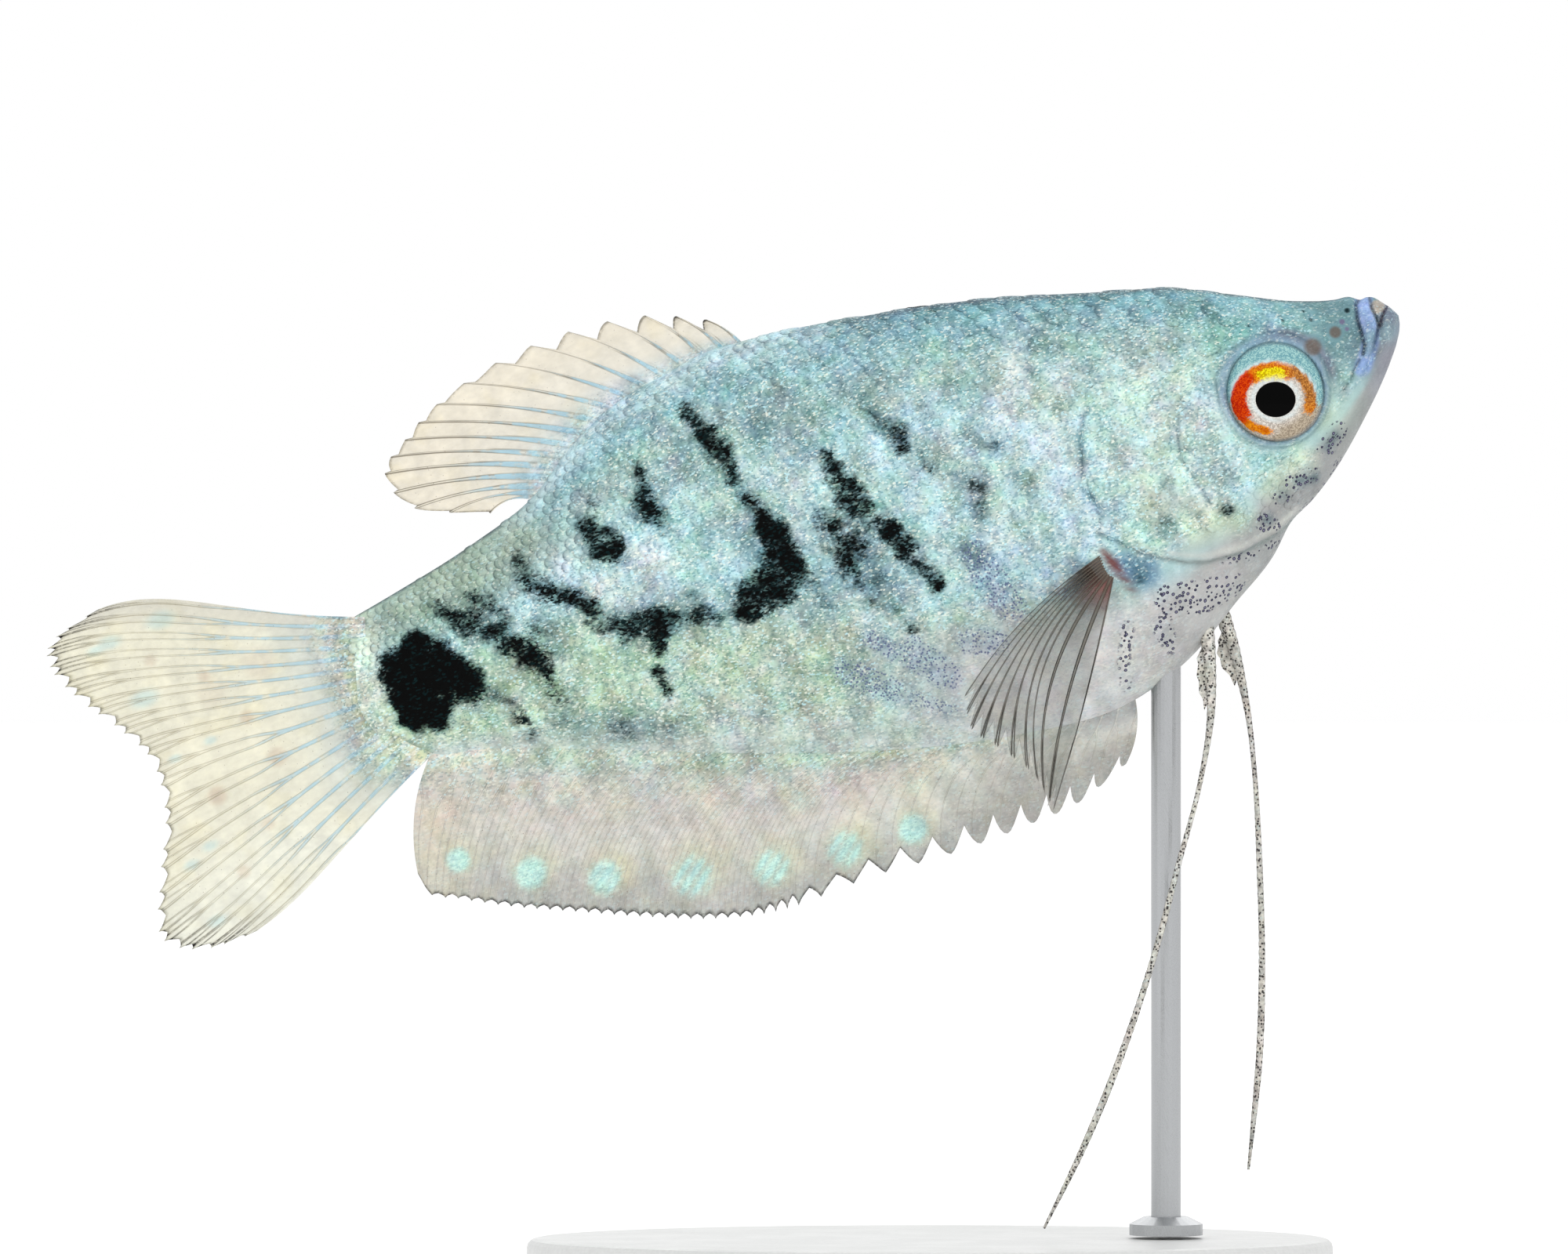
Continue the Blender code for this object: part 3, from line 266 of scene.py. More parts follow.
# Fins: (place from first to last ray, place of the root on its seat, tip behind, tip up)
DORSAL_RAYS = [
    (0, 57.4, 59.95, 20.5), (0.125, 61.1, 65.1, 22.7), (0.25, 65, 72.2, 23.6), (0.375, 68.7, 79.4, 23.1),
    (0.5, 72.1, 85.7, 21.3), (0.625, 74.9, 89.5, 19.2), (0.75, 77, 92.3, 16.9), (0.875, 78.7, 90.8, 13),
    (1, 80.2, 84.4, 10.25),
]
ANAL_RAYS = [
    (0, 34.3, 37.1, -30.5), (0.05, 37.2, 42.3, -32.4), (0.1, 40, 46.8, -32.8), (0.2, 46, 55, -33),
    (0.3, 51.5, 62.5, -32.6), (0.4, 57.5, 71, -32.8), (0.5, 63.5, 77.5, -31.4), (0.6, 69.5, 83.5, -29.1),
    (0.7, 76, 89, -26.7), (0.8, 82.5, 94, -24.5), (0.9, 89.5, 98.6, -22.1), (0.96, 93.8, 101.2, -20.6),
    (1, 96.8, 101.5, -18.7),
]
CAUDAL_RAYS = [
    (0, 5.1, 121.9, 13.75), (0.1, 3.9, 126.4, 12.35), (0.2, 2.6, 127.1, 9.9), (0.3, 1.2, 125.5, 6.4),
    (0.4, -0.2, 123, 2.8), (0.5, -1.8, 121.1, -1.05), (0.6, -3.4, 121.6, -6), (0.7, -4.8, 124, -11.4),
    (0.8, -6.1, 125.7, -16.4), (0.9, -7.4, 122.6, -18.7), (1, -8.7, 117.8, -18.9),
]
PECTORAL_RAYS = [
    (0, 0, 49.2, -19.6), (0.25, 0.25, 49.6, -22.8), (0.5, 0.5, 47.8, -25.2), (0.75, 0.75, 45.6, -28.6),
    (1, 1, 45, -32.2),
]
PECTORAL_RAY_PLACES = (0.0, 0.12, 0.24, 0.36, 0.48, 0.6, 0.7, 0.79, 0.87, 0.94, 1.0)
PECTORAL_ROOT = [(33.3, -11.7), (32.5, -13.6)]
PECTORAL_BASE = [(0.5, 1, [(32.9, -11.4, 0.2), (32.4, -12.8, 0.5), (31.8, -14.6, 0.2), (31.5, -16, 0.05)])]
PECTORAL_SPREAD = 4.6
PECTORAL_FREE = 2.4
PECTORAL_ROOT_CLEAR = 0.35
PECTORAL_ROOT_SUNK = 0.4
ANAL_SPOTS = [
    (97.6, -18.7, 1), (91.7, -22, 1.3), (85.5, -24.6, 1.4), (77.9, -27.1, 1.7), (70.8, -28.8, 1.5),
    (63.9, -29.4, 1.5), (57.4, -29.7, 1.2),
]
ANAL_RAY_LEAN = (0.79, -0.61)
ANAL_FAINT_SPOTS = [(86.4, -16.9), (66.4, -23.9), (56, -25.8)]
ANAL_STRIPE_SPACING = 1.0
ANAL_FRONT_TIPS = [37.1, 39.9, 42.3, 44.6, 46.8, 49.4, 52.0, 54.9, 58.0, 61.1, 64.2, 67.4, 69.6]
ANAL_TIP_SPACING = 1.08
FIN_ROOT_SUNK = 0.5
FIN_TAPER, RIDGE_WIDTH, RIDGE_FADE = 0.8, 0.13, 0.7
# How fast the notches after the first ray change into those of the rest
CUT_FADE, CUT_POWER, SHAPE_FADE = 2.2, 0.8, 2.5

# How far the rays bow rearwards and up: (place from first to last ray, bow)
STRAIGHT = [(0, 0), (1, 0)]
DORSAL_BOW = [(0, 0.3), (1, 0.7)]
ANAL_BOW = [(0, -0.6), (0.03, 0), (1, 0.9)]
TAIL_BOW = [(0, 3.2), (1, -1.4)]
PECTORAL_BOW = [(0, 0.9), (0.4, 1.9), (0.7, 2.8), (0.85, 2.6), (1, -0.3)]

FORK_LENGTH = 0.25
TAIL_FORKS = ((0.34, 0.2), (0.72, 0.1))
PECTORAL_FORKS = ((0.66, 0.1),)
ANAL_FORKS = ((0.2, 0.25),)
TAIL_STATION = 101.6
TAIL_SWAY = 0.0022
TAIL_FILLET = (0.95, 3.4)

# Pelvic feelers, as (behind, up, side) along the middle of each
FEELER_RIGHT = [
    (25.9, -20.2, -1.5), (26.8, -23.9, -1.9), (28.2, -28.3, -2.5), (31.4, -34.3, -3.3), (35.9, -40.9, -4.2),
    (39.7, -46.5, -5), (46.7, -55.6, -6), (53, -62.6, -6.7), (58.2, -67.7, -7.2),
]
FEELER_LEFT = [
    (24.2, -19.9, 1.5), (24.3, -24, 2), (24.9, -29.5, 2.9), (26.4, -36.2, 3.9), (28.2, -42.5, 4.8),
    (31.4, -52.6, 5.9), (34.2, -60, 6.6), (37, -66.2, 7), (38.6, -69.6, 7.2),
]
FEELER_HALF_WIDTHS = [(0, 0.72), (0.06, 0.6), (0.16, 0.34), (0.5, 0.28), (0.9, 0.26), (1, 0.12)]
FRINGE_FIRST = 0.03
FRINGE_LAST = 0.12
FRINGE_REACH = {"right": 1.6, "left": 1.2}
FEELER_LINES = {"right": FEELER_RIGHT, "left": FEELER_LEFT}
FEELER_RINGS, FEELER_AROUND = 260, 14
FEELER_DEPTH = 0.85
FEELER_WAVE, FEELER_WAVES = 0.05, 420

# The photograph's view
CAMERA_DISTANCE = 1.0
PHOTO_MIDDLE = (0.00534, 0.05808)
PHOTO_WIDTH = 0.13611
SENSOR_WIDTH = 36.0

# Square lamps, as (name, place, size, power), and where they point, in metres and watts
LAMPS = [
    ("key", (0.45, -0.9, 0.85), 0.7, 2.6), ("fill", (-0.8, -0.6, 0.5), 0.8, 0.8),
    ("back", (0.1, 0.9, 0.7), 0.8, 2.0),
]
LAMP_TARGET = (0.0, 0.0, 0.055)

# How much of the light in the scene a surface needs to give back to show as bright as a colour on a screen
LIGHT_SHARE = 0.88

# Pale pearly patches, as (behind, up, radius)
PEARLS = [
    (24, -1, 1.8), (20.5, -3.5, 1.6), (31.5, 4.5, 2), (35.5, 7.5, 1.8), (38, 3.5, 2), (28, -4, 1.8),
    (27, -8, 1.6), (34.5, -1, 1.8), (26, 3, 1.8), (76.5, 1, 2.2), (72, 1.5, 1.8), (80, 4, 1.5),
]

# Marks of the tail fin: beige stains as (behind, up, radius, strength) and pale turquoise flecks
TAIL_STAINS = [
    (114, 4.9, 0.5, 0.8), (111.5, 0, 0.6, 0.8), (110.1, -4.3, 0.8, 0.8), (116.5, -5.9, 0.8, 0.9),
    (112.9, -9.8, 0.6, 0.6), (116.5, -13.2, 0.6, 0.6), (118.2, 7.8, 0.5, 0.6), (108.9, 4.3, 1.4, 0.4),
    (113.9, 3.3, 1.2, 0.3),
]
TAIL_FLECKS = [
    (121.2, 10.6, 0.7), (116.1, 11, 0.9), (119.9, 4.7, 0.9), (115.4, -0.9, 0.4), (120.8, -11.1, 0.5),
    (120.3, -16.7, 0.6), (119, -1.4, 0.4), (118.6, -10, 0.5), (122.7, 10.3, 0.5),
]

# Size of the finest flecks and painted glints, in millimetres, and how shiny the skin is
GLINT_SIZE = 0.14
SKIN_SHINE = 0.05

# Soft patches of other hues: (size in millimetres, how far red, green and blue range in it)
HUE_PATCHES = [(4.5, (0.5, 0.2, 0.4)), (1.3, (0.55, 0.25, 0.5))]

# Colours that others are multiplied by, or that shaders take as they are
# The cool and warm sparks are the colours of painted glints: reflected light painted into the colour
DARK_FLECK, COOL_SPARK, WARM_SPARK = (0.4, 0.54, 0.62), (0.55, 0.88, 0.96), (0.94, 0.96, 0.84)
SCALE_PALE, SCALE_RIM = (1.32, 1.3, 1.28), (0.4, 0.42, 0.46)
# INK_GLINT paints small glints of reflected light into the black marks
BLOTCH_HALO, INK, INK_GLINT = (0.22, 0.38, 0.39), (0.0006, 0.0008, 0.0008), (0.004, 0.032, 0.036)
FIN_STAIN, IRIS_SHADE, PUPIL = (1.0, 0.96, 0.8), (0.66, 0.6, 0.5), (0.0005, 0.0005, 0.0005)

# Colours as on a screen, some of them as the two ends of a range
DOT_MIDDLE, DOT_RIM, SMALL_DOT = (128, 126, 152), (58, 58, 78), (88, 98, 138)
BLUE_STREAK, FIN_PEPPER, FIN_RIM = (176, 216, 232), (96, 86, 76), (34, 32, 34)
TURQUOISE = (178, 226, 222), (208, 248, 236)
FEELER_DULL, FEELER_PALE = (176, 172, 164), (228, 224, 214)
FEELER_DOT, FEELER_FLANK = (50, 46, 48), (96, 92, 88)
IRIS_SILVER = (178, 168, 158), (234, 226, 216)
IRIS_BRONZE = (140, 84, 36), (206, 138, 66)
IRIS_COLOURS = {
    "orange": ((196, 92, 0), (236, 148, 24)), "red": ((178, 30, 0), (220, 72, 6)),
    "yellow": ((196, 168, 0), (246, 232, 20)), "teal": ((110, 162, 172), (170, 212, 208)),
}
EYE_RING, EYE_BORDER = (222, 236, 238), (96, 116, 128)


# Lines and places in the side view


def read_line(line, where):
    """Values of a smooth line through rows that start with their place, one column for each other value."""
    rows = np.array(line, float)
    places, values = rows[:, 0], rows[:, 1:]
    slopes = np.gradient(values, places, axis=0)
    where = np.clip(np.asarray(where, float), places[0], places[-1])
    at = np.clip(np.searchsorted(places, where) - 1, 0, len(places) - 2)
    step = places[at + 1] - places[at]
    share = ((where - places[at]) / step)[..., None]
    step = step[..., None]
    start, end = values[at], values[at + 1]
    result = start * (1 + 2 * share) * (1 - share) ** 2 + end * share ** 2 * (3 - 2 * share)
    result = result + step * share * (1 - share) * (slopes[at] * (1 - share) - slopes[at + 1] * share)
    return result[..., 0] if values.shape[1] == 1 else result


def world(behind, up, side):
    """Points of the fish where the posed fish has them, in metres, as rows of x, y and z."""
    x = SNOUT_FORWARD - (behind * math.cos(PITCH) + up * math.sin(PITCH)) * HUNDREDTH
    z = BASE_TOP + SNOUT_ABOVE_BASE - (behind * math.sin(PITCH) - up * math.cos(PITCH)) * HUNDREDTH
    return np.stack(np.broadcast_arrays(x, side * HUNDREDTH, z), axis=-1)


def smooth(first, last, value):
    """A soft step from 0 at the first value to 1 at the last."""
    share = np.clip((value - first) / (last - first), 0, 1)
    return share * share * (3 - 2 * share)


def bell(value, width):
    """A bump of height 1 that falls off over a width."""
    return np.exp(-(value / width) ** 2)


def away(spot, behind, up):
    """How far places are from a spot."""
    return np.hypot(behind - spot[0], up - spot[1])


def segment_place(start, end, behind, up):
    """The share of a segment where places are nearest to it, how far off they are and how far to its left."""
    along = end - start
    length = math.hypot(along[0], along[1])
    du, dv = behind - start[0], up - start[1]
    share = np.clip((du * along[0] + dv * along[1]) / length ** 2, 0, 1)
    distance = np.hypot(du - share * along[0], dv - share * along[1])
    return share, distance, (along[0] * dv - along[1] * du) / length


def line_place(line, behind, up):
    """How far places are from a line, and how far to its left as it is walked along."""
    points = np.array(line, float)
    nearest, left = np.full(np.shape(behind), np.inf), np.zeros(np.shape(behind))
    for start, end in zip(points[:-1], points[1:]):
        _, distance, beside = segment_place(start, end, behind, up)
        left = np.where(distance < nearest, beside, left)
        nearest = np.minimum(nearest, distance)
    return nearest, left


def chain_cover(chains, behind, up, growth=0.0):
    """How fully places lie in marks drawn as chains of circles, from 0 to 1."""
    cover = np.zeros(np.shape(behind))
    for soft, strength, chain in chains:
        rows = np.array(chain + [(chain[-1][0] + CHAIN_END,) + chain[-1][1:]])
        for start, end in zip(rows[:-1], rows[1:]):
            share, distance, _ = segment_place(start, end, behind, up)
            out = distance - start[2] - share * (end[2] - start[2]) - growth
            cover = np.maximum(cover, strength * smooth(soft, -soft * CHAIN_CORE, out))
    return cover


# Shares, from 0 to 1, of places that are given as named measures


def past(title, first, last):
    """A soft step in one measure, from 0 at the first value to 1 at the last."""
    return lambda at: smooth(first, last, at[title])


def near(title, middle, width):
    """A soft band in one measure."""
    return lambda at: bell(at[title] - middle, width)


def glow(behind, up, width, squash=1.0):
    """A soft round patch."""
    return lambda at: bell(np.hypot(at["behind"] - behind, (at["up"] - up) * squash), width)


def chains(marks):
    """Marks drawn as chains of circles."""
    return lambda at: chain_cover(marks, at["behind"], at["up"])


def spots(marks, outer, inner, strength=1.0, squash=1.0):
    """Round spots, as (behind, up, radius, own strength or none), with a soft edge given in radii."""
    def share(at):
        clear = 1.0
        for spot_behind, spot_up, radius, *own in marks:
            distance = np.hypot((at["behind"] - spot_behind) * squash, at["up"] - spot_up)
            clear = clear * (1 - math.prod(own) * strength * smooth(outer * radius, inner * radius, distance))
        return 1 - clear
    return share


def total(at, terms):
    """The sum of some terms, each a strength and the shares that it is multiplied by."""
    return sum(strength * math.prod(share(at) for share in shares) for strength, *shares in terms)


def layered(at, ground, layers):
    """Colours laid over one another, each with its strength and the shares that it is multiplied by."""
    colours = np.zeros(np.shape(at["behind"]) + (3,)) + tone(*ground)
    for colour, *term in layers:
        colours = blend(colours, tone(*colour), total(at, [term]))
    return colours


def tone(red, green, blue):
    """A colour given as it shows on a screen in the scene's light, in the linear values that shaders take."""
    shares = np.array((red, green, blue)) / 255
    return LIGHT_SHARE * np.where(shares <= 0.04045, shares / 12.92, ((shares + 0.055) / 1.055) ** 2.4)


def blend(colours, other, share):
    """Colours mixed with another by a share for each place."""
    share = np.clip(share, 0, 1)[..., None]
    return colours * (1 - share) + np.asarray(other) * share


# The body's surface


def seat_half(behind, seat):
    """Half width of the flat under a fin, which fades out past the ends of its seat."""
    fade = np.clip((behind - seat[0]) / 2, 0, 1) * np.clip((seat[1] - behind) / 2, 0, 1)
    return EDGE_HALF + (FIN_SEAT_HALF - EDGE_HALF) * fade


def body_half(behind, up):
    """Half the solid body's thickness at places in the side view."""
    widest, middle, pinch = np.moveaxis(read_line(GIRTH, behind), -1, 0)
    above = up >= middle
    share_up = np.clip((up - middle) / (read_line(BACK_LINE, behind) - middle), 0, 1)
    share_down = np.clip((middle - up) / (middle - read_line(BELLY_LINE, behind)), 0, 1)
    round_down = (1 - share_down ** (2 - 0.5 * pinch)) ** (0.5 + 0.35 * pinch)
    round_part = np.where(above, np.sqrt(1 - share_up ** 2), round_down)
    edge = np.where(above, seat_half(behind, DORSAL_SEAT), seat_half(behind, ANAL_SEAT))
    swell = bell(line_place(MOUTH_LINE, behind, up)[0] - LIP_WIDTH, 0.7 * LIP_WIDTH)
    return np.hypot(widest * round_part + LIP_SWELL * swell * round_part, edge)


def body_height(behind, up):
    """Where places lie between the belly, at -1, the widest line, at 0, and the back, at 1."""
    middle = read_line(GIRTH, behind)[..., 1]
    top, bottom = read_line(BACK_LINE, behind), read_line(BELLY_LINE, behind)
    return np.where(up >= middle, (up - middle) / (top - middle), (up - middle) / (middle - bottom))


def head_measures(behind, up):
    """Places, and how far they are from the lines of the head and the middle of the eye."""
    at = {"behind": behind, "up": up}
    at["eye"], at["wedge"] = away(EYE_CENTRE, behind, up), away(PALE_WEDGE, behind, up)
    for title, line in HEAD_LINES.items():
        at[title], at[f"{title}_left"] = line_place(line, behind, up)
    return at


# The skin's small forms over the plain body: a height, which is below 0 in grooves, and where it is
HEAD_LINES = {
    "lip": LIP_MIDDLE, "groove": LIP_GROOVE, "front": LIP_FRONT, "fold": LOWER_LIP_FOLD,
    "lower_lip": LOWER_LIP_MIDDLE, "crease": JAW_CREASE, "gill": GILL_EDGE, "cheek": CHEEK_FOLD,
}
FORMS = [
    (0.34, near("lip", 0, 0.62)),
    (-0.5, near("groove", 0, 0.2)),
    (0.3, near("lower_lip", 0, 0.6)),
    (-0.55, near("front", 0, 0.15), past("up", -3.6, -0.8)),
    (-0.5, near("fold", 0, 0.14)),
    (-0.5, near("wedge", 0, 0.42)),
    (-0.16, near("crease", 0, 0.16)),
    (0.26, past("gill_left", 0.1, -0.14), near("gill", 0, 3)),
    (-0.12, near("gill", 0.25, 0.3), lambda at: at["gill_left"] > 0),
    (0.1, past("cheek_left", 0.12, -0.12), near("cheek", 0, 1.6)),
    (-0.06, near("cheek", 0, 0.16)),
    (0.2, near("eye", 4.85, 0.32)),
    (-0.16, near("eye", 5.3, 0.14)),
    (0.08, near("eye", 5.7, 0.3)),
    (-2.2, past("eye", EYE_RADIUS + 0.12, EYE_RADIUS - 0.5)),
    (-0.12, spots(BROWN_SPOTS, 1.2, 0.5)),
    (0.35, glow(32.6, -13.8, 1.5, 1 / 1.3)),
]
PORE_RIM, PORE_DEPTH = 0.22, 0.9
# The forms fade where the body is thin, and the skin keeps a least thickness
THIN_BODY, LEAST_HALF = (0.15, 1.0), 0.06


def skin_half(behind, up):
    """Half the thickness of the skin at places in the side view."""
    plain = body_half(behind, up)
    height = total(head_measures(behind, up), FORMS)
    for *spot, radius in NOSTRILS + PORES:
        distance = away(spot, behind, up)
        rim = PORE_RIM * bell(distance - 1.25 * radius, 0.5 * radius)
        height = height + radius * (rim - PORE_DEPTH * smooth(radius, 0.3 * radius, distance))
    return np.maximum(plain - SKIN_INSET + height * smooth(*THIN_BODY, plain), LEAST_HALF)


def skin_place(behind, up):
    """Points of the skin's right side."""
    return world(behind, up, -skin_half(behind, up))


def ring(station, count):
    """Places round one side of the body at a station, from its lower to its upper edge."""
    top_lean, bottom_lean, sag = read_line(RING_LAYOUT, station)
    side_up = read_line(RING_SIDE_UP, station)
    top_up = read_line(BACK_LINE, station + top_lean) - SKIN_INSET
    bottom_up = read_line(BELLY_LINE, station + bottom_lean) + SKIN_INSET
    angle = np.linspace(-math.pi / 2, math.pi / 2, count)
    share = np.abs(np.sin(angle))
    upper = angle >= 0
    behind = np.where(upper, station + top_lean * share, station + bottom_lean * share ** BOTTOM_LEAN_POWER)
    lower_up = side_up + (bottom_up - side_up) * share - sag * 4 * share ** 2 * (1 - share ** 2)
    return behind, np.where(upper, side_up + (top_up - side_up) * share, lower_up)


# Meshes


def tube_faces(rings, around):
    """The sides of a tube of closed rings."""
    faces = []
    for first in range(0, (rings - 1) * around, around):
        for c in range(around):
            n = (c + 1) % around
            faces.append((first + c, first + around + c, first + around + n, first + n))
    return faces


def capped_faces(rings, around):
    """The sides and the ends of a tube whose two end points follow those of its rings."""
    faces = tube_faces(rings, around)
    front, rear, last = rings * around, rings * around + 1, (rings - 1) * around
    for c in range(around):
        n = (c + 1) % around
        faces += [(front, c, n), (rear, last + n, last + c)]
    return faces


def closed_sheet(first, second):
    """The points and faces of a closed sheet between two grids of points of the same size."""
    rows, columns = first.shape[:2]
    number = np.arange(rows * columns).reshape(rows, columns)
    near_side = np.stack((number[:-1, :-1], number[1:, :-1], number[1:, 1:], number[:-1, 1:]), axis=-1)
    near_side = near_side.reshape(-1, 4)
    border = np.concatenate((number[0], number[1:, -1], number[-1, -2::-1], number[-2:0:-1, 0]))
    after, shift = np.roll(border, -1), rows * columns
    faces = near_side.tolist() + (near_side[:, ::-1] + shift).tolist()
    faces += np.stack((border, after, after + shift, border + shift), axis=-1).tolist()
    return np.concatenate((first.reshape(-1, 3), second.reshape(-1, 3))), faces


def make_mesh(name, points, faces, values, colours, smooth_angle, uv=None):
    """An object with its faces turned out and with values and colours stored at its points."""
    mesh = bpy.data.meshes.new(name)
    mesh.from_pydata(points.tolist(), [], faces)
    for title, value in values.items():
        numbers = np.ravel(value).astype(np.float32)
        mesh.attributes.new(title, "FLOAT", "POINT").data.foreach_set("value", numbers)
    for title, value in colours.items():
        four = np.column_stack((value, np.ones(len(value)))).astype(np.float32)
        mesh.attributes.new(title, "FLOAT_COLOR", "POINT").data.foreach_set("color", four.ravel())
    if uv is not None:
        corners = np.empty(len(mesh.loops), np.int32)
        mesh.loops.foreach_get("vertex_index", corners)
        mesh.uv_layers.new(name="OFBake").data.foreach_set("uv", uv[corners].astype(np.float32).ravel())
    bm = bmesh.new()
    bm.from_mesh(mesh)
    bmesh.ops.recalc_face_normals(bm, faces=bm.faces[:])
    bm.to_mesh(mesh)
    bm.free()
    mesh.shade_smooth()
    mesh.set_sharp_from_angle(angle=math.radians(smooth_angle))
    made = bpy.data.objects.new(name, mesh)
    bpy.context.scene.collection.objects.link(made)
    return made


def dress(made, material, slot, *nodes):
    """Gives a piece its material, fixes it to the root body and hides the nodes that it stands for. The slot
    is not used.
    """
    made.data.materials.append(material)
    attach(made, "root")
    if nodes:
        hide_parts(*nodes)


# Markings of the skin and the scales: broad colours, without the fine flecks and painted glints, from the
# lowest layer up
SKIN_GROUND = (178, 210, 211)
SKIN_LAYERS = [
    ((196, 221, 221), 0.9, near("behind", 33, 12), past("height", -0.5, 0.1)),
    ((196, 222, 213), 1, near("behind", 24, 6), past("height", -0.65, -0.3)),
    ((182, 215, 214), 0.7, near("behind", 66, 9), past("height", -0.5, 0)),
    ((188, 208, 190), 1, past("height", -0.12, -0.4), past("behind", 44, 62)),
    ((194, 219, 194), 0.9, past("behind", 70, 86), past("height", 0.25, -0.2)),
    ((206, 217, 209), 0.8, past("height", -0.72, -0.92), past("behind", 45, 58)),
    ((194, 204, 196), 1, past("height", -0.28, -0.55), past("behind", 60, 46), past("behind", 30, 36)),
    # Pale grey breast: partly its own colour, partly painted light that offsets the shade on the underside
    ((222, 222, 221), 1, past("height", -0.5, -0.68), past("behind", 56, 42), past("behind", 24, 32)),
    ((188, 188, 187), 1, past("height", -0.56, -0.7), past("behind", 36, 28)),
    ((160, 162, 161), 1, past("height", -0.5, -0.76), past("behind", 26, 16)),
    ((200, 222, 196), 0.8, glow(9.8, -6.2, 1.7)),
    ((176, 176, 175), 0.9, chains(GREY_PATCHES)),
    ((204, 226, 198), 0.8, chains(GREEN_PATCHES)),
    ((163, 193, 190), 0.9, past("height", 0.3, 0.7)),
    ((142, 184, 192), 1, past("height", 0.64, 0.88)),
    ((114, 156, 166), 1, past("height", 0.86, 0.99), past("behind", 86, 76)),
    ((160, 180, 168), 1, past("behind", 76, 84), past("height", 0.35, 0.75)),
    ((150, 172, 152), 0.6, near("behind", 91, 5), past("height", 0.1, 0.6)),
    ((212, 230, 208), 1, past("behind", 97.2, 99.2)),
    ((192, 208, 198), 1, past("behind", 100.2, 101.4)),
    ((137, 186, 189), 0.85, past("behind", 24, 12), past("height", 0, 0.6)),
    ((116, 154, 162), 1, past("behind", 11, 7), past("up", -6, -1.5)),
    ((170, 196, 186), 0.7, near("behind", 8.5, 2.4), near("up", -4.8, 2.4)),
    ((124, 138, 152), 1, past("behind", 3.6, 1.2), past("up", 2.2, 0.8)),
    ((138, 174, 184), 0.8, glow(1.8, -1.6, 1)),
    ((150, 152, 162), 1, past("behind", 6.5, 2.5), past("up", -0.2, -3.4)),
    ((148, 174, 222), 1, past("lip", 1, 0.5), past("up", -4.6, -3.6)),
    ((150, 186, 196), 0.6, past("lip", 0.7, 0.3), past("up", -0.2, -0.8), past("up", -3, -2)),
    ((178, 170, 160), 1, past("wedge", 0.82, 0.58), past("up", 0.6, 0.9)),
    # Painted shade: dark lines along the grooves of the lips and the jaw
    ((52, 66, 84), 0.85, near("groove", 0, 0.17)),
    ((96, 110, 122), 0.75, near("front", 0, 0.15), past("up", -2.4, 0.4)),
    ((92, 84, 104), 0.85, near("fold", 0, 0.16)),
    ((58, 74, 84), 0.7, near("crease", 0, 0.12)),
    ((166, 206, 202), 0.7, glow(7.2, -3.1, 1, 0.8)),
    ((118, 108, 142), 0.85, spots(VIOLET_SPOTS, 1.25, 0.7)),
    # Painted shade in the pits of the nostrils and pores
    ((18, 40, 44), 0.9, spots(NOSTRILS + PORES, 1.3, 0.6)),
    ((134, 160, 182), 0.85, lambda at: at["eye_rim"]),
    ((124, 120, 144), 0.7, near("eye", 5.6, 0.55), past("behind", 13.5, 10.5), past("up", -5, -2.5)),
    # Painted shade in the fold round the eye and in its socket
    ((84, 116, 130), 0.6, lambda at: at["eye_folds"]),
    ((112, 98, 88), 0.85, spots(BROWN_SPOTS, 1.25, 0.7)),
    # Painted shadow: dark lines on the body just past the gill cover's raised edge
    ((92, 126, 138), 0.85, near("gill", 0, 0.3), past("gill_left", -0.25, 0), past("up", -13.5, -11)),
    ((134, 144, 142), 0.8, near("gill", 0, 0.28), past("gill_left", -0.25, 0), past("up", -11, -13.5)),
    # Painted shade in the groove of the cheek fold
    ((96, 122, 130), 0.8, near("cheek", 0, 0.16)),
    ((212, 214, 206), 0.5, near("gill_left", -0.55, 0.35), near("gill", 0.5, 0.6), past("up", -9.5, -12.5)),
    ((216, 222, 224), 1, lambda at: at["pearly"]),
    ((118, 140, 182), 0.35, chains(VIOLET_PATCHES)),
    ((96, 142, 180), 0.8, chains(BLUE_PATCH)),
    ((118, 66, 62), 0.95, chains(PECTORAL_BASE)),
    ((74, 88, 100), 0.75, past("height", 0.95, 0.988), lambda at: at["finless"]),
    ((192, 216, 222), 0.8, past("height", 0.8, 0.96), lambda at: 1 - at["finless"]),
    ((76, 108, 120), 0.8, chains(SHADES)),
]
# What is taken from the share of flecks and painted glints or added to it
FLECK_AND_GLINT_TERMS = [
    (-0.85, past("height", -0.4, -0.56), past("behind", 40, 26)),
    (-0.6, past("height", -0.4, -0.6), past("behind", 62, 46), past("behind", 30, 38)),
    (-0.35, past("height", -0.75, -0.95), past("behind", 50, 60)),
    (-0.5, past("behind", 12, 5)),
    (-0.25, past("height", 0.75, 1)),
    (-0.45, past("behind", 70, 82), past("height", 0.2, 0.6)),
    (-1, spots(BROWN_SPOTS + VIOLET_SPOTS + NOSTRILS, 1.8, 1.1)),
    (-0.6, near("eye", 5, 0.7)),
    (0.8, chains(GREEN_PATCHES)),
    (-0.7, chains(GREY_PATCHES)),
    (-1, chains(PECTORAL_BASE)),
]
LEAST_FLECKS_AND_GLINTS = 0.06
PEARL_STRENGTH = 0.55
SHADE_IN_BLOTCH = 0.45


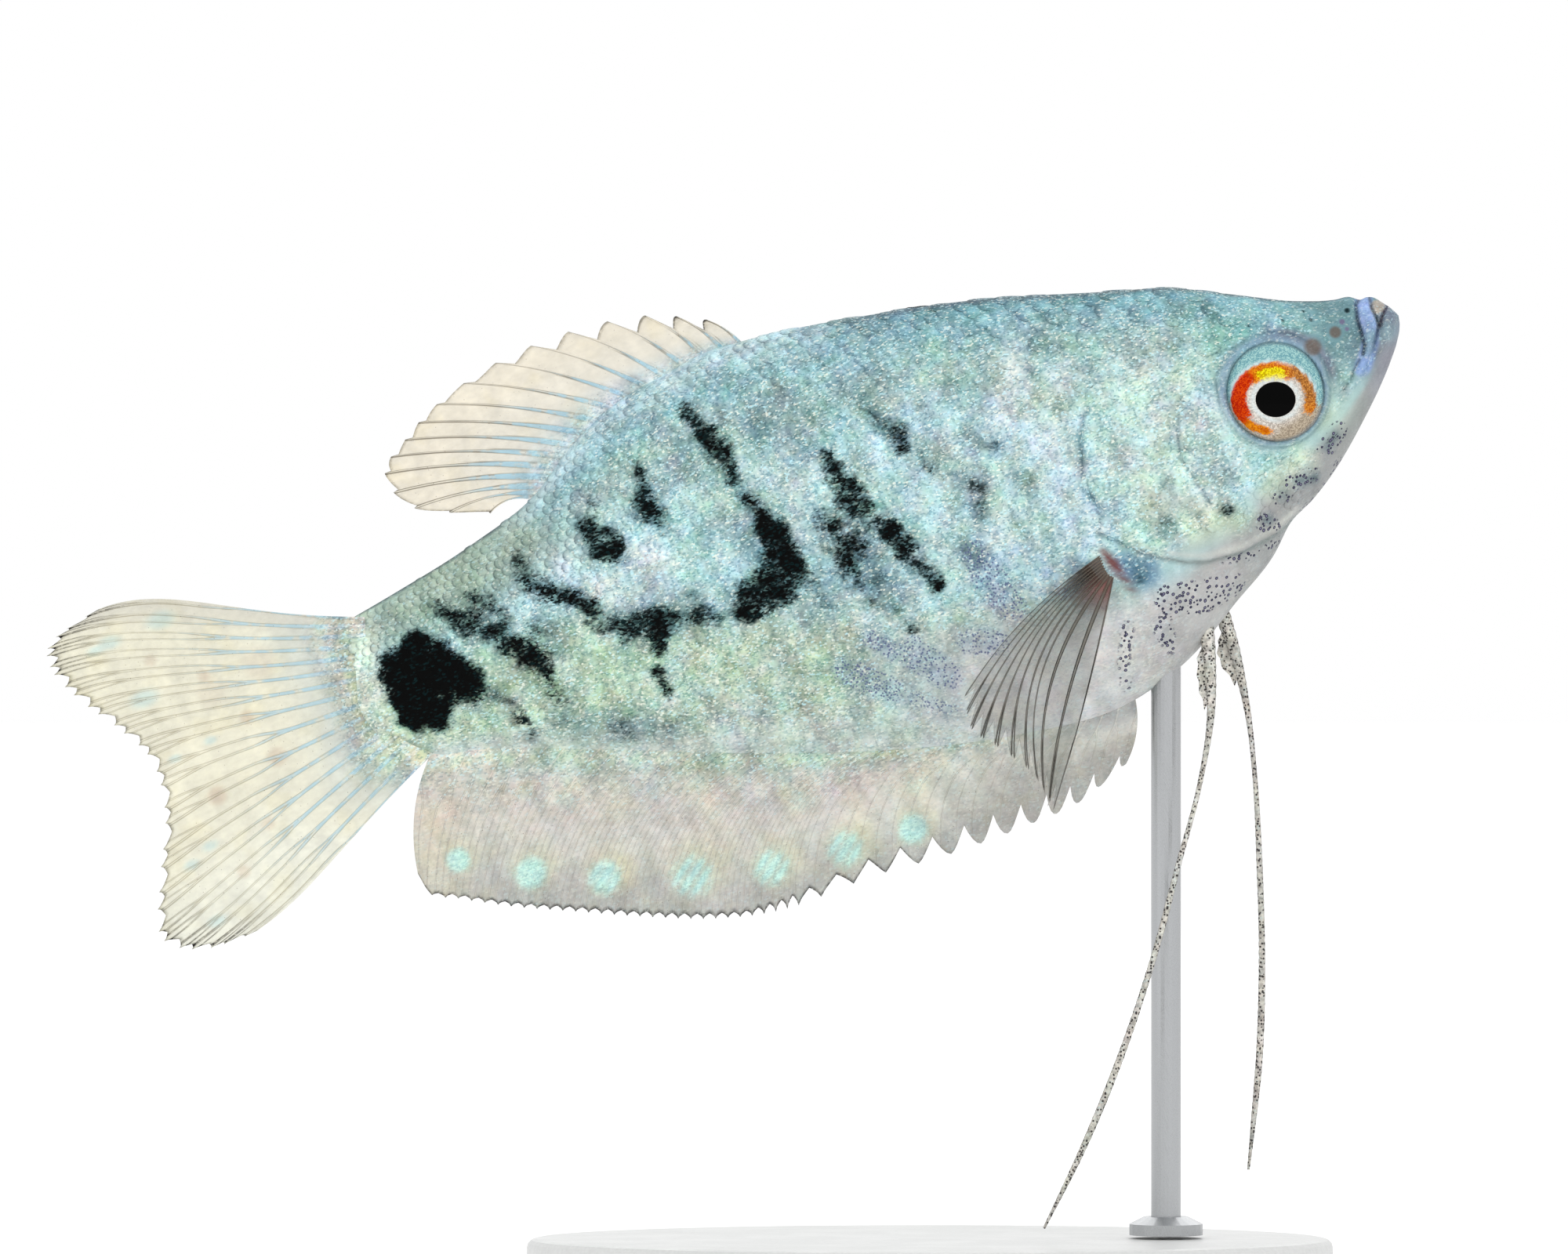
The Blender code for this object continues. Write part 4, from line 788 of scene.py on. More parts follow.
def skin_values(behind, up):
    """All that the skin's material reads from the points of a mesh."""
    at = head_measures(behind, up)
    at["height"] = body_height(behind, up)
    over_eye = smooth(-0.1, 0.7, (up - EYE_CENTRE[1]) / np.maximum(at["eye"], 1))
    at["eye_rim"] = bell(at["eye"] - 4.65 - 0.3 * over_eye, 0.22 + 0.28 * over_eye)
    # A painted shade line in the fold round the eye, and painted shade in the socket under it
    at["eye_folds"] = bell(at["eye"] - 5.05 - 0.5 * over_eye, 0.13) + smooth(4.7, 4.45, at["eye"])
    before_fin, after_fin = DORSAL_SEAT
    at["finless"] = smooth(before_fin, 44, behind) + smooth(after_fin - 2, after_fin + 4, behind)
    dull = 1.0
    for *pearl, radius in PEARLS:
        dull = dull * (1 - PEARL_STRENGTH * bell(away(pearl, behind, up), radius) * (at["gill"] > 0.3))
    at["pearly"] = 1 - dull
    scaly = 0.25 + 0.75 * smooth(62, 82, behind) * smooth(-0.1, 0.5, at["height"])
    shades = SHADE_IN_BLOTCH * chain_cover(SHADES, behind, up)
    values = {
        "blotch": np.maximum(chain_cover(BLOTCHES, behind, up, BLOTCH_GROWTH), shades),
        "glitter": np.clip(1 + total(at, FLECK_AND_GLINT_TERMS), LEAST_FLECKS_AND_GLINTS, 1),
        "violet": chain_cover(VIOLET_PATCHES, behind, up),
        "dots": chain_cover(DOT_PATCHES, behind, up),
        "scaly": np.maximum(scaly, 0.75 * smooth(0.6, 0.9, at["height"])),
    }
    return values, {"zone": layered(at, SKIN_GROUND, SKIN_LAYERS)}


# Materials


class Paint:
    """A Principled material whose nodes are added and joined by short calls."""

    def __init__(self, name, **settings):
        self.material = bpy.data.materials.new(name)
        self.material.use_nodes = True
        self.tree = self.material.node_tree
        self.shader = self.tree.nodes["Principled BSDF"]
        self.places = None
        self.set(**settings)

    def set(self, **settings):
        """Fills inputs of the shader."""
        for title, value in settings.items():
            self.put(self.shader.inputs[title.replace("_", " ")], value)
        return self.material

    def put(self, socket, value):
        """Joins a node's output to an input, or sets the input to a plain value."""
        if isinstance(value, bpy.types.NodeSocket):
            self.tree.links.new(value, socket)
        elif hasattr(socket.default_value, "__len__"):
            socket.default_value = (tuple(value) + (1.0,))[:len(socket.default_value)]
        else:
            socket.default_value = value

    def node(self, kind, output, inputs, **settings):
        """Adds a node, fills its inputs and gives back one of its outputs."""
        made = self.tree.nodes.new(f"ShaderNode{kind}")
        for title, value in settings.items():
            setattr(made, title, value)
        for title, value in inputs.items():
            self.put(made.inputs[title], value)
        return made.outputs[output]

    def value(self, title):
        """A number stored at the mesh's points."""
        return self.node("Attribute", "Fac", {}, attribute_name=title)

    def colour(self, title):
        """A colour stored at the mesh's points."""
        return self.node("Attribute", "Color", {}, attribute_name=title)

    def math(self, operation, first, second=0.0, third=0.0):
        """Numbers joined by an operation."""
        return self.node("Math", 0, {0: first, 1: second, 2: third}, operation=operation)

    def times(self, first, *others):
        """Numbers multiplied."""
        for other in others:
            first = self.math("MULTIPLY", first, other)
        return first

    def shake(self, value, noise, reach):
        """A value moved up and down by noise."""
        return self.math("MULTIPLY_ADD", self.math("SUBTRACT", noise, 0.5), reach, value)

    def mix(self, share, first, second, way="MIX"):
        """Two colours mixed."""
        return self.node("Mix", 2, {0: share, 6: first, 7: second}, data_type="RGBA", blend_type=way)

    def tint(self, share, colour, factor):
        """A colour multiplied by a share of another."""
        return self.mix(share, colour, self.mix(1.0, colour, factor, "MULTIPLY"))

    def fit(self, value, low, high, to_low=0.0, to_high=1.0, way="SMOOTHSTEP"):
        """A value read from one range into another."""
        inputs = {"Value": value, "From Min": low, "From Max": high, "To Min": to_low, "To Max": to_high}
        return self.node("MapRange", "Result", inputs, interpolation_type=way)

    def place(self, along=1.0, across=1.0, deep=1.0):
        """Places in millimetres along, across and through the fish, each stretched by its own factor."""
        if self.places is None:
            spot = self.node("TexCoord", "Object", {})
            inputs = {"Vector": spot, "Rotation": (0, PITCH, 0), "Scale": (1000, 1000, 1000)}
            self.places = self.node("Mapping", 0, inputs)
        return self.node("VectorMath", 0, {0: self.places, 1: (along, deep, across)}, operation="MULTIPLY")

    def noise(self, size, detail=2.0, output=0, **stretch):
        """Soft noise whose forms are about a size in millimetres across."""
        inputs = {"Vector": self.place(**stretch), "Scale": 1 / size, "Detail": detail}
        return self.node("TexNoise", output, inputs)

    def cells(self, size, **stretch):
        """Small cells of about a size in millimetres, as three random numbers for each."""
        inputs = {"Vector": self.place(**stretch), "Scale": 1 / size}
        return self.node("SeparateColor", slice(0, 3), {0: self.node("TexVoronoi", "Color", inputs)})

    def dots(self, count, outer, inner, strength=1.0):
        """Round dots, with so many to a millimetre, and the distance from the middle of each."""
        distance = self.node("TexVoronoi", "Distance", {"Vector": self.place(), "Scale": count})
        return self.fit(distance, outer, inner, 0.0, strength), distance

    def flecked(self, fleck, low, high):
        """One colour in some flecks, and another in the rest."""
        return self.mix(self.fit(fleck, 0.2, 0.9), tone(*low), tone(*high))

    def bump(self, height, depth, strength=1.0):
        """Small heights in the surface, given as shares of a depth in metres."""
        self.set(Normal=self.node("Bump", 0, {"Height": height, "Distance": depth, "Strength": strength}))


def add_glints(paint, base, glitter):
    """A pearly ground broken up by soft patches of other hues, fine dark flecks and painted bright glints."""
    bright, hue, _ = paint.cells(GLINT_SIZE, along=0.65)
    for size, reach in HUE_PATCHES:
        least = tuple(1 - share / 2 for share in reach)
        inputs = {0: paint.noise(size, 3.0, "Color"), 1: reach, 2: least}
        base = paint.tint(glitter, base, paint.node("VectorMath", 0, inputs, operation="MULTIPLY_ADD"))
    cloud = paint.fit(paint.noise(1.9, 5.0, across=0.5), 0.3, 0.7, 0.66, 1.28, "LINEAR")
    middle = paint.noise(0.8, 4.0, along=0.7)
    shade = paint.times(cloud, paint.fit(middle, 0.28, 0.72, 0.84, 1.16, "LINEAR"))
    base = paint.tint(paint.fit(glitter, 0.0, 1.0, 0.3, 1.0, "LINEAR"), base, shade)
    base = paint.tint(paint.times(paint.fit(bright, 0.46, 0.0, 0.0, 0.75), glitter), base, DARK_FLECK)
    # Painted glints: bright cells take a cool or warm colour that stands in for light reflected by the scales
    spark = paint.mix(paint.fit(hue, 0.25, 0.75), COOL_SPARK, WARM_SPARK)
    light = paint.times(paint.fit(bright, 0.68, 1.0, 0.0, 0.6), glitter)
    return paint.mix(light, base, spark), bright, middle


def add_scale_rims(paint, body):
    """Scales that are pale in their middle and dark at their hind edge, each a little brighter or duller."""
    clear = paint.times(paint.value("scaly"), paint.fit(paint.noise(2.6, 2.0), 0.36, 0.6, 0.5, 1.0))
    rear = paint.value("rear")
    body = paint.tint(paint.times(paint.fit(rear, 0.5, 0.2, 0.0, 0.7), clear), body, SCALE_PALE)
    body = paint.tint(paint.times(paint.fit(rear, 0.5, 0.9, 0.0, 0.7), clear), body, SCALE_RIM)
    return paint.tint(clear, body, paint.fit(paint.value("tint"), 0.0, 1.0, 0.82, 1.16, "LINEAR"))


def skin_material(name, roughness, scales=False):
    """Pale, pearly skin with small painted glints, black blotches and dots."""
    paint = Paint(name, Specular_IOR_Level=SKIN_SHINE)
    body = paint.colour("zone")
    if scales:
        body = add_scale_rims(paint, body)
    body, bright, middle = add_glints(paint, body, paint.value("glitter"))
    speck = paint.cells(GLINT_SIZE, along=0.5)[2]
    blotch = paint.value("blotch")
    frayed = paint.shake(blotch, paint.noise(1.3, 7.0, along=0.7), 1.7)
    halo = paint.times(paint.fit(frayed, 0.14, 0.9, 0.0, 0.72), paint.fit(blotch, 0.04, 0.26))
    body = paint.tint(halo, body, BLOTCH_HALO)
    thin = paint.times(paint.fit(blotch, 0.95, 0.5), 1.7)
    cover = paint.shake(paint.shake(frayed, paint.noise(3.4, 3.0, along=0.8), thin), speck, 0.5)
    cover = paint.times(paint.fit(cover, 0.26, 0.92), paint.fit(blotch, 0.06, 0.36))
    # The black marks keep a few painted cyan glints
    body = paint.mix(cover, body, paint.mix(paint.fit(speck, 0.75, 1.0, 0.0, 0.35), INK, INK_GLINT))
    dot, distance = paint.dots(2.45, 0.42, 0.34)
    dot = paint.times(dot, paint.fit(paint.value("dots"), 0.35, 0.6))
    body = paint.mix(dot, body, paint.mix(paint.fit(distance, 0.14, 0.24), tone(*DOT_MIDDLE), tone(*DOT_RIM)))
    dot = paint.times(paint.dots(3.7, 0.42, 0.3)[0], paint.fit(paint.value("violet"), 0.3, 0.6, 0.0, 0.8))
    body = paint.mix(dot, body, tone(*SMALL_DOT))
    paint.bump(paint.math("MULTIPLY_ADD", bright, 0.4, middle), 0.00004)
    rough = paint.fit(bright, 0.0, 1.0, roughness + 0.12, roughness - 0.12)
    return paint.set(Base_Color=body, Roughness=rough)


def fin_material(name, ray_colour, clear, line, forks=(), blue=0.0, root_clear=1.0, ray_strength=0.85,
                 core=(236, 234, 222), core_share=0.35):
    """A half clear membrane between rays, which show as pairs of dark lines and may fork."""
    paint = Paint(name, Specular_IOR_Level=SKIN_SHINE, Roughness=0.45)
    out = paint.value("out")
    off = paint.value("beside")
    for start, spread in forks:
        opened = paint.fit(out, start, start + FORK_LENGTH, 0.0, spread)
        off = paint.math("ABSOLUTE", paint.math("SUBTRACT", off, opened))
    off = paint.times(off, paint.times(paint.value("spacing"), paint.fit(out, 0.1, 0.75, 0.7, 1.5)))
    ray = paint.fit(off, line * 1.5, line * 0.8)
    edge = paint.times(paint.fit(off, line * 1.8, line * 1.2), paint.fit(off, line * 0.3, line * 0.9))
    grain = paint.noise(0.5, 4.0, along=0.6)
    base = paint.mix(1.0, paint.colour("zone"), paint.fit(grain, 0.3, 0.7, 0.9, 1.08, "LINEAR"), "MULTIPLY")
    base = paint.tint(paint.fit(paint.noise(3.0, 2.0), 0.5, 0.7, 0.0, 0.5), base, FIN_STAIN)
    base = paint.mix(paint.times(ray, core_share), base, tone(*core))
    beaded = paint.times(paint.fit(paint.noise(0.9, 3.0), 0.32, 0.54), paint.fit(out, 0.03, 0.12, 0.3, 1.0))
    streak = paint.times(ray, beaded, paint.fit(out, 0.7, 0.34, 0.0, blue))
    strong = paint.fit(out, 0.05, 0.5, 0.35 * ray_strength, ray_strength)
    base = paint.mix(paint.times(edge, strong), base, tone(*ray_colour))
    base = paint.mix(streak, base, tone(*BLUE_STREAK))
    fleck = paint.cells(GLINT_SIZE, along=0.6)[0]
    lit = paint.times(paint.fit(paint.shake(paint.value("spot"), fleck, 0.22), 0.1, 1.05), 0.92)
    base = paint.mix(lit, base, paint.flecked(fleck, *TURQUOISE))
    # Flecks and painted glints, as on the skin
    base = add_glints(paint, base, paint.value("glitter"))[0]
    base = paint.mix(paint.dots(1.9, 0.11, 0.06, 0.6)[0], base, tone(*FIN_PEPPER))
    rim = paint.times(paint.value("rim"), paint.fit(fleck, 0.1, 0.5, 0.4, 1.0))
    base = paint.mix(rim, base, tone(*FIN_RIM))
    solid = paint.math("MAXIMUM", paint.times(ray, 0.45), paint.times(edge, 0.85))
    solid = paint.math("MAXIMUM", paint.math("MAXIMUM", solid, lit), rim)
    solid = paint.math("MAXIMUM", solid, paint.times(paint.fit(out, 0.24, 0.04), root_clear))
    paint.bump(paint.math("ADD", ray, grain), 0.00003, 0.6)
    return paint.set(Base_Color=base, Alpha=paint.fit(solid, 0.0, 1.0, clear, 1.0, "LINEAR"))


def feeler_material():
    """A whitish thread with small dark dots and darker flanks."""
    paint = Paint("feeler_skin", Specular_IOR_Level=SKIN_SHINE, Roughness=0.45)
    grain = paint.noise(0.4, 3.0)
    base = paint.mix(paint.fit(grain, 0.3, 0.7), tone(*FEELER_DULL), tone(*FEELER_PALE))
    # A few flecks and painted glints
    base = add_glints(paint, base, 0.35)[0]
    base = paint.mix(paint.dots(3.8, 0.46, 0.3, 0.95)[0], base, tone(*FEELER_DOT))
    base = paint.mix(paint.fit(paint.value("flank"), 0.8, 0.97, 0.0, 0.6), base, tone(*FEELER_FLANK))
    paint.bump(grain, 0.00004)
    return paint.set(Base_Color=base)


def eye_material():
    """A glossy eye with a speckled iris round a black pupil."""
    paint = Paint("eye_surface", Specular_IOR_Level=0.02, Roughness=0.35, Coat_Weight=0.04,
                  Coat_Roughness=0.03)
    grain = paint.noise(0.22, 4.0)
    fleck = paint.cells(0.1)[0]
    silver = paint.mix(paint.fit(fleck, 0.1, 0.9), *(tone(*colour) for colour in IRIS_SILVER))
    base = paint.tint(paint.value("shade"), silver, IRIS_SHADE)
    for title, colours in IRIS_COLOURS.items():
        colour = paint.flecked(fleck, *colours)
        if title == "orange":
            colour = paint.mix(paint.value("bronze"), colour, paint.flecked(fleck, *IRIS_BRONZE))
        frayed = paint.shake(paint.shake(paint.value(title), grain, 0.8), fleck, 0.35)
        base = paint.mix(paint.fit(frayed, 0.3, 0.7), base, colour)
    base = paint.mix(paint.value("ring"), base, tone(*EYE_RING))
    base = paint.mix(paint.value("border"), base, tone(*EYE_BORDER))
    return paint.set(Base_Color=paint.mix(paint.fit(paint.value("pupil"), 0.47, 0.53), base, PUPIL))


# Skin


def make_skin():
    """One closed skin over the head, the trunk and the tail."""
    stations = np.concatenate((
        np.linspace(*HEAD_REACH, HEAD_RINGS),
        np.linspace(HEAD_REACH[1], CHEEK_END, CHEEK_RINGS)[1:],
        np.linspace(CHEEK_END, SKIN_END, TRUNK_RINGS)[1:],
    ))
    behind, up = np.moveaxis(np.array([ring(station, SIDE_POINTS) for station in stations]), 1, 0)
    half = skin_half(behind, up)
    side = np.concatenate((-half, half[:, ::-1]), axis=1)
    behind, up = (np.concatenate((grid, grid[:, ::-1]), axis=1).ravel() for grid in (behind, up))
    behind = np.append(behind, (NOSE_POINT[0], END_POINT[0]))
    up = np.append(up, (NOSE_POINT[1], END_POINT[1]))
    points = world(behind, up, np.append(side.ravel(), (0.0, 0.0)))
    skin = make_mesh("skin", points, capped_faces(*side.shape), *skin_values(behind, up), 60)
    dress(skin, skin_material("fish_skin", 0.45), "skin", "head", "upper_jaw", "lower_jaw",
          "gill_cover_right", "gill_cover_left", "torso", "tail_stem")


# Eyes


def eye_frame(side_sign):
    """The place and the turn of an eye, whose own Z axis looks out of the head."""
    behind, up = EYE_CENTRE
    step = 2.0
    before, after = ((np.array((behind + move, behind)), np.array((up, up + move))) for move in (-step, step))
    slope = (body_half(*after) - body_half(*before)) / (2 * step)
    centre = world(behind, up, side_sign * EYE_CENTRE_SIDE)
    out = world(behind - slope[0], up - slope[1], side_sign * (EYE_CENTRE_SIDE + 1)) - centre
    return centre, np.array(Vector(out).to_track_quat("Z", "Y").to_matrix())


def eye_values(forward, above):
    """The coloured zones of an eye, from places in its own radius in front of and above its middle."""
    pupil = np.hypot((forward - 0.002) / 0.412, (above + 0.152) / 0.362)
    iris = np.hypot((forward + 0.032) / 0.876, (above + 0.127) / 0.756)
    angle = np.degrees(np.arctan2(above + 0.135, forward - 0.02))

    def sector(middle, half):
        return smooth(half + 14, half - 14, np.abs((angle - middle + 180) % 360 - 180))

    in_iris = smooth(1.03, 0.98, iris)
    top = sector(100, 48) * smooth(0.5, 0.62, iris)
    right = sector(28, 52) * smooth(0.6, 0.86, iris)
    low_left = sector(232, 30) * smooth(0.72, 0.86, iris)
    return {
        "pupil": 0.5 + 4 * (1 - pupil),
        "orange": np.maximum(np.maximum(top, right), low_left) * in_iris,
        "bronze": smooth(0.1, 0.5, forward) * smooth(-0.6, 0.0, above),
        "red": sector(176, 40) * smooth(0.56, 0.74, iris) * in_iris,
        "yellow": sector(100, 30) * smooth(0.44, 0.54, iris) * smooth(0.92, 0.74, iris),
        "teal": smooth(0.97, 1.03, iris) * smooth(-0.6, 0.1, above),
        "ring": 0.8 * bell(iris - 1.02, 0.03) * smooth(-0.2, 0.2, above) + 0.75 * bell(pupil - 1.13, 0.12),
        "border": smooth(0.95, 1.01, np.hypot(forward, above)) * 0.7,
        "shade": sector(-35, 55) * smooth(0.6, 0.9, iris) + 0.6 * smooth(0.95, 1.05, iris),
    }


def make_eye(side, side_sign, material):
    """One domed, glossy eye."""
    centre, turn = eye_frame(side_sign)
    angle = np.linspace(0, math.pi, EYE_RINGS + 2)[1:-1, None]
    turned = np.linspace(0, 2 * math.pi, EYE_AROUND, endpoint=False)
    dome = (np.sin(angle) * np.cos(turned), np.sin(angle) * np.sin(turned), np.cos(angle) + 0 * turned)
    sizes = (EYE_BALL_RADIUS, EYE_BALL_RADIUS, EYE_DEPTH_HALF)
    local = np.stack(dome, axis=-1).reshape(-1, 3) * sizes
    local = np.vstack((local, (0, 0, EYE_DEPTH_HALF), (0, 0, -EYE_DEPTH_HALF))) * HUNDREDTH
    points = local @ turn.T + centre
    seen = (points - centre) / (EYE_RADIUS * HUNDREDTH)
    faces = capped_faces(EYE_RINGS, EYE_AROUND)
    made = make_mesh(f"eye_ball_{side}", points, faces, eye_values(seen[:, 0], seen[:, 2]), {}, 80)
    dress(made, material, "eye", f"eye_{side}")


# Fins


def notched_reach(cell, place, notch, notch_first, notch_shape, forks, cut_behind):
    """How much of its rays' length a fin reaches on and between them, where its edge is notched."""
    cut = notch
    if notch_first is not None:
        cut = notch_first + (notch - notch_first) * np.minimum(place * CUT_FADE, 1) ** CUT_POWER
    folded = cell - np.floor(cell) if cut_behind else np.abs(cell - np.round(cell))
    for _, spread in forks[:1]:
        folded = np.abs(folded - spread)
    shape = notch_shape[0] + (notch_shape[1] - notch_shape[0]) * np.minimum(place * SHAPE_FADE, 1)
    return 1 - cut * (folded / folded.max()) ** shape


def ray_distance(beside, out, spacing, forks):
    """How far places are from the nearest ray or branch of a ray, in millimetres."""
    off = beside
    for start, spread in forks:
        off = np.abs(off - spread * smooth(start, start + FORK_LENGTH, out))
    return off * spacing


def fin_grid(keys, seat, rays, rows, per_ray, notch, root_half=0.34, tip_half=0.1, ridge=0.12,
             notch_first=None, notch_shape=(1.0, 1.0), bow=STRAIGHT, bow_power=1, forks=(), cut_behind=False,
             side_at=None, fillet=(0.0, 1.0)):
    """The two faces of a fin and, for each of its points, the values that its colours are drawn from."""
    ray_places = np.linspace(0, 1, rays) if isinstance(rays, int) else rays
    cell = np.arange(per_ray * (len(ray_places) - 1) + 1) / per_ray
    place = np.interp(cell, np.arange(len(ray_places)), ray_places)
    share = np.linspace(0, 1, rows + 1)[:, None]
    keyed = read_line(keys, place)
    root = np.stack(seat(keyed[:, 0]), axis=-1)
    tip = keyed[:, 1:]
    length = np.linalg.norm(tip - root, axis=1)
    out = share * notched_reach(cell, place, notch, notch_first, notch_shape, forks, cut_behind)
    sideways = np.stack((root[:, 1] - tip[:, 1], tip[:, 0] - root[:, 0]), axis=-1) / length[:, None]
    bend = read_line(bow, place)[:, None] * sideways
    spot = root + (tip - root) * out[..., None] + bend * (4 * out ** bow_power * (1 - out))[..., None]
    spacing = np.linalg.norm(np.gradient(spot, axis=1), axis=-1) * per_ray * HUNDREDTH_MM
    beside = np.abs(cell - np.round(cell)) + 0 * out
    off = ray_distance(beside, out, spacing, forks)
    half = root_half + (tip_half - root_half) * share ** FIN_TAPER
    ridges = ridge * bell(off, RIDGE_WIDTH) * (1 - RIDGE_FADE * share)
    half = half + ridges + fillet[0] * bell(out * length, fillet[1])
    middle = side_at(place, out * length) if side_at else 0.0
    behind, up = spot[..., 0], spot[..., 1]
    edge = (1 - share) * length * HUNDREDTH_MM + 0 * out
    sheet = world(behind, up, middle - half), world(behind, up, middle + half)
    at = {"behind": behind, "up": up, "place": place + 0 * out, "out": out, "edge": edge, "off": off}
    return sheet, at, {"out": out, "beside": beside, "spacing": spacing}


def fin_piece(name, grid, look, material, *nodes):
    """A fin from its two faces, coloured by its look: ground, layers, dark rim, flecks and painted glints."""
    sheet, at, values = grid
    ground, layers, rim, glitter = look
    values |= {"spot": at.get("spot", 0), "glitter": total(at, glitter), "rim": total(at, rim)}
    values = {title: np.tile(np.ravel(value + 0 * at["out"]), 2) for title, value in values.items()}
    zone = np.tile(layered(at, ground, layers).reshape(-1, 3), (2, 1))
    dress(make_mesh(name, *closed_sheet(*sheet), values, {"zone": zone}, 50), material, "fin", *nodes)


def on_back(behind):
    """Where a ray of the dorsal fin starts, inside the back."""
    return behind, read_line(BACK_LINE, behind) - FIN_ROOT_SUNK


def on_belly(behind):
    """Where a ray of the anal fin starts, inside the belly's keel."""
    return behind, read_line(BELLY_LINE, behind) + FIN_ROOT_SUNK


def on_tail_end(up):
    """Where a ray of the tail fin starts, inside the end of the tail stem."""
    behind, height = ring(TAIL_STATION, 60)
    return np.interp(up, height, behind) - 2.5 * FIN_ROOT_SUNK, up


def between(first, last, share):
    """Places by their share of the way from a first to a last one."""
    return tuple(start + (end - start) * share for start, end in zip(first, last))


def on_shoulder(share):
    """Where a ray of a pectoral fin starts."""
    return between(*PECTORAL_ROOT, share)


def anal_ray_places():
    """Where the rays of the anal fin stand: wide apart at its front and close together towards the tail."""
    places = np.linspace(0, 1, 400)
    tips = read_line(ANAL_RAYS, places)[:, 1]
    wanted = np.arange(ANAL_FRONT_TIPS[-1], tips[-1], ANAL_TIP_SPACING)[1:]
    return np.interp(np.concatenate((ANAL_FRONT_TIPS, wanted, tips[-1:])), tips, places)


def anal_spots(at):
    """The turquoise spots of the anal fin, striped where they are large, and the pale patches round them."""
    spot, halo = np.zeros(np.shape(at["out"])), np.zeros(np.shape(at["out"]))
    for spot_behind, spot_up, radius in ANAL_SPOTS:
        du, dv = at["behind"] - spot_behind, at["up"] - spot_up
        along = du * ANAL_RAY_LEAN[0] + dv * ANAL_RAY_LEAN[1]
        across = du * ANAL_RAY_LEAN[1] - dv * ANAL_RAY_LEAN[0]
        reach = np.hypot(along / (1.3 * radius), across / (1.25 * radius))
        split = 0.22 * smooth(1.2, 1.6, radius)
        stripes = 1 - split + split * np.cos(across * 2 * math.pi / ANAL_STRIPE_SPACING)
        spot = np.maximum(spot, smooth(1.4, 0.4, reach) * stripes)
        halo = np.maximum(halo, smooth(2.3, 0.9, np.hypot(along + 0.6 * radius, across) / radius))
    for faint in ANAL_FAINT_SPOTS:
        reach = away(faint, at["behind"], at["up"])
        spot = np.maximum(spot, 0.4 * smooth(1.9, 0.4, reach))
        halo = np.maximum(halo, smooth(2.8, 0.8, reach))
    return {"spot": spot, "halo": halo}


# Bluish at the root, then greyish cream
DORSAL_LOOK = (
    (238, 231, 212),
    [((212, 224, 226), 1, past("out", 0.36, 0.06)), ((242, 232, 208), 0.8, past("out", 0.4, 0.8))],
    [(0.6, past("edge", 0.35, 0.1)), (0.35, past("place", 0.25, 0), past("edge", 1.2, 0.2))],
    [(0.8, past("out", 0.3, 0.05))],
)
# The trunk's colours at the root, then beige with a row of turquoise spots and a dark scalloped edge
ANAL_LOOK = (
    (227, 227, 216),
    [
        ((186, 187, 185), 1, past("out", 0.5, 0.1), past("place", 0.2, 0.04)),
        ((186, 200, 186), 1, past("out", 0.42, 0.08), past("place", 0.14, 0.34)),
        ((184, 184, 179), 0.85, past("out", 0.6, 0.92)),
        ((224, 220, 202), 1, past("place", 0.84, 0.97)),
        ((176, 174, 168), 0.85, past("place", 0.24, 0.1), past("out", 0.3, 0.6)),
        ((226, 224, 190), 0.6, lambda at: at["halo"]),
        ((222, 210, 178), 0.7, glow(97, -14.5, 1.9)),
        ((214, 202, 198), 0.5, near("out", 0.45, 0.2), past("place", 0.2, 0.35)),
        ((204, 222, 200), 0.7, near("out", 0.1, 0.05), past("place", 0.2, 0.4)),
    ],
    [(1, past("edge", 0.26, 0.08), past("place", 0.12, 0.3))],
    [(0.6, past("out", 0.6, 0.1), past("place", 0.05, 0.3)), (0.3,)],
)
# Greenish at the root, then cream, with dark tips on the lobes
TAIL_LOOK = (
    (240, 236, 208),
    [
        ((204, 214, 206), 1, past("out", 0.42, 0.08)),
        ((206, 218, 192), 1, past("out", 0.14, 0.05)),
        ((240, 240, 220), 1, past("place", 0.6, 0.85), past("out", 0.3, 0.5)),
        ((210, 206, 190), 0.7, past("place", 0.14, 0)),
        ((214, 194, 162), 1, spots(TAIL_STAINS, 1.5, 0.6)),
        ((178, 222, 222), 1, spots(TAIL_FLECKS, 1.3, 0.4, 0.55, 0.6)),
    ],
    [
        (0.7, past("edge", 0.3, 0.08)),
        (0.8, past("edge", 5, 0.6), past("off", 0.2, 0.05), past("place", 0.34, 0.14)),
        (0.8, past("edge", 5, 0.6), past("off", 0.2, 0.05), past("place", 0.72, 0.86),
         past("place", 1, 0.94)),
    ],
    [(0.95, past("out", 0.24, 0.1))],
)
# Clear grey, reddish brown at the root
PECTORAL_LOOK = (
    (128, 130, 126),
    [
        ((80, 74, 72), 1, past("out", 0.34, 0.06)),
        ((118, 76, 72), 1, past("out", 0.12, 0.04)),
        ((148, 104, 100), 0.8, past("out", 0.24, 0.06), past("place", 0.45, 0.8)),
    ],
    [(0.2, past("edge", 0.4, 0.1))],
    [],
)


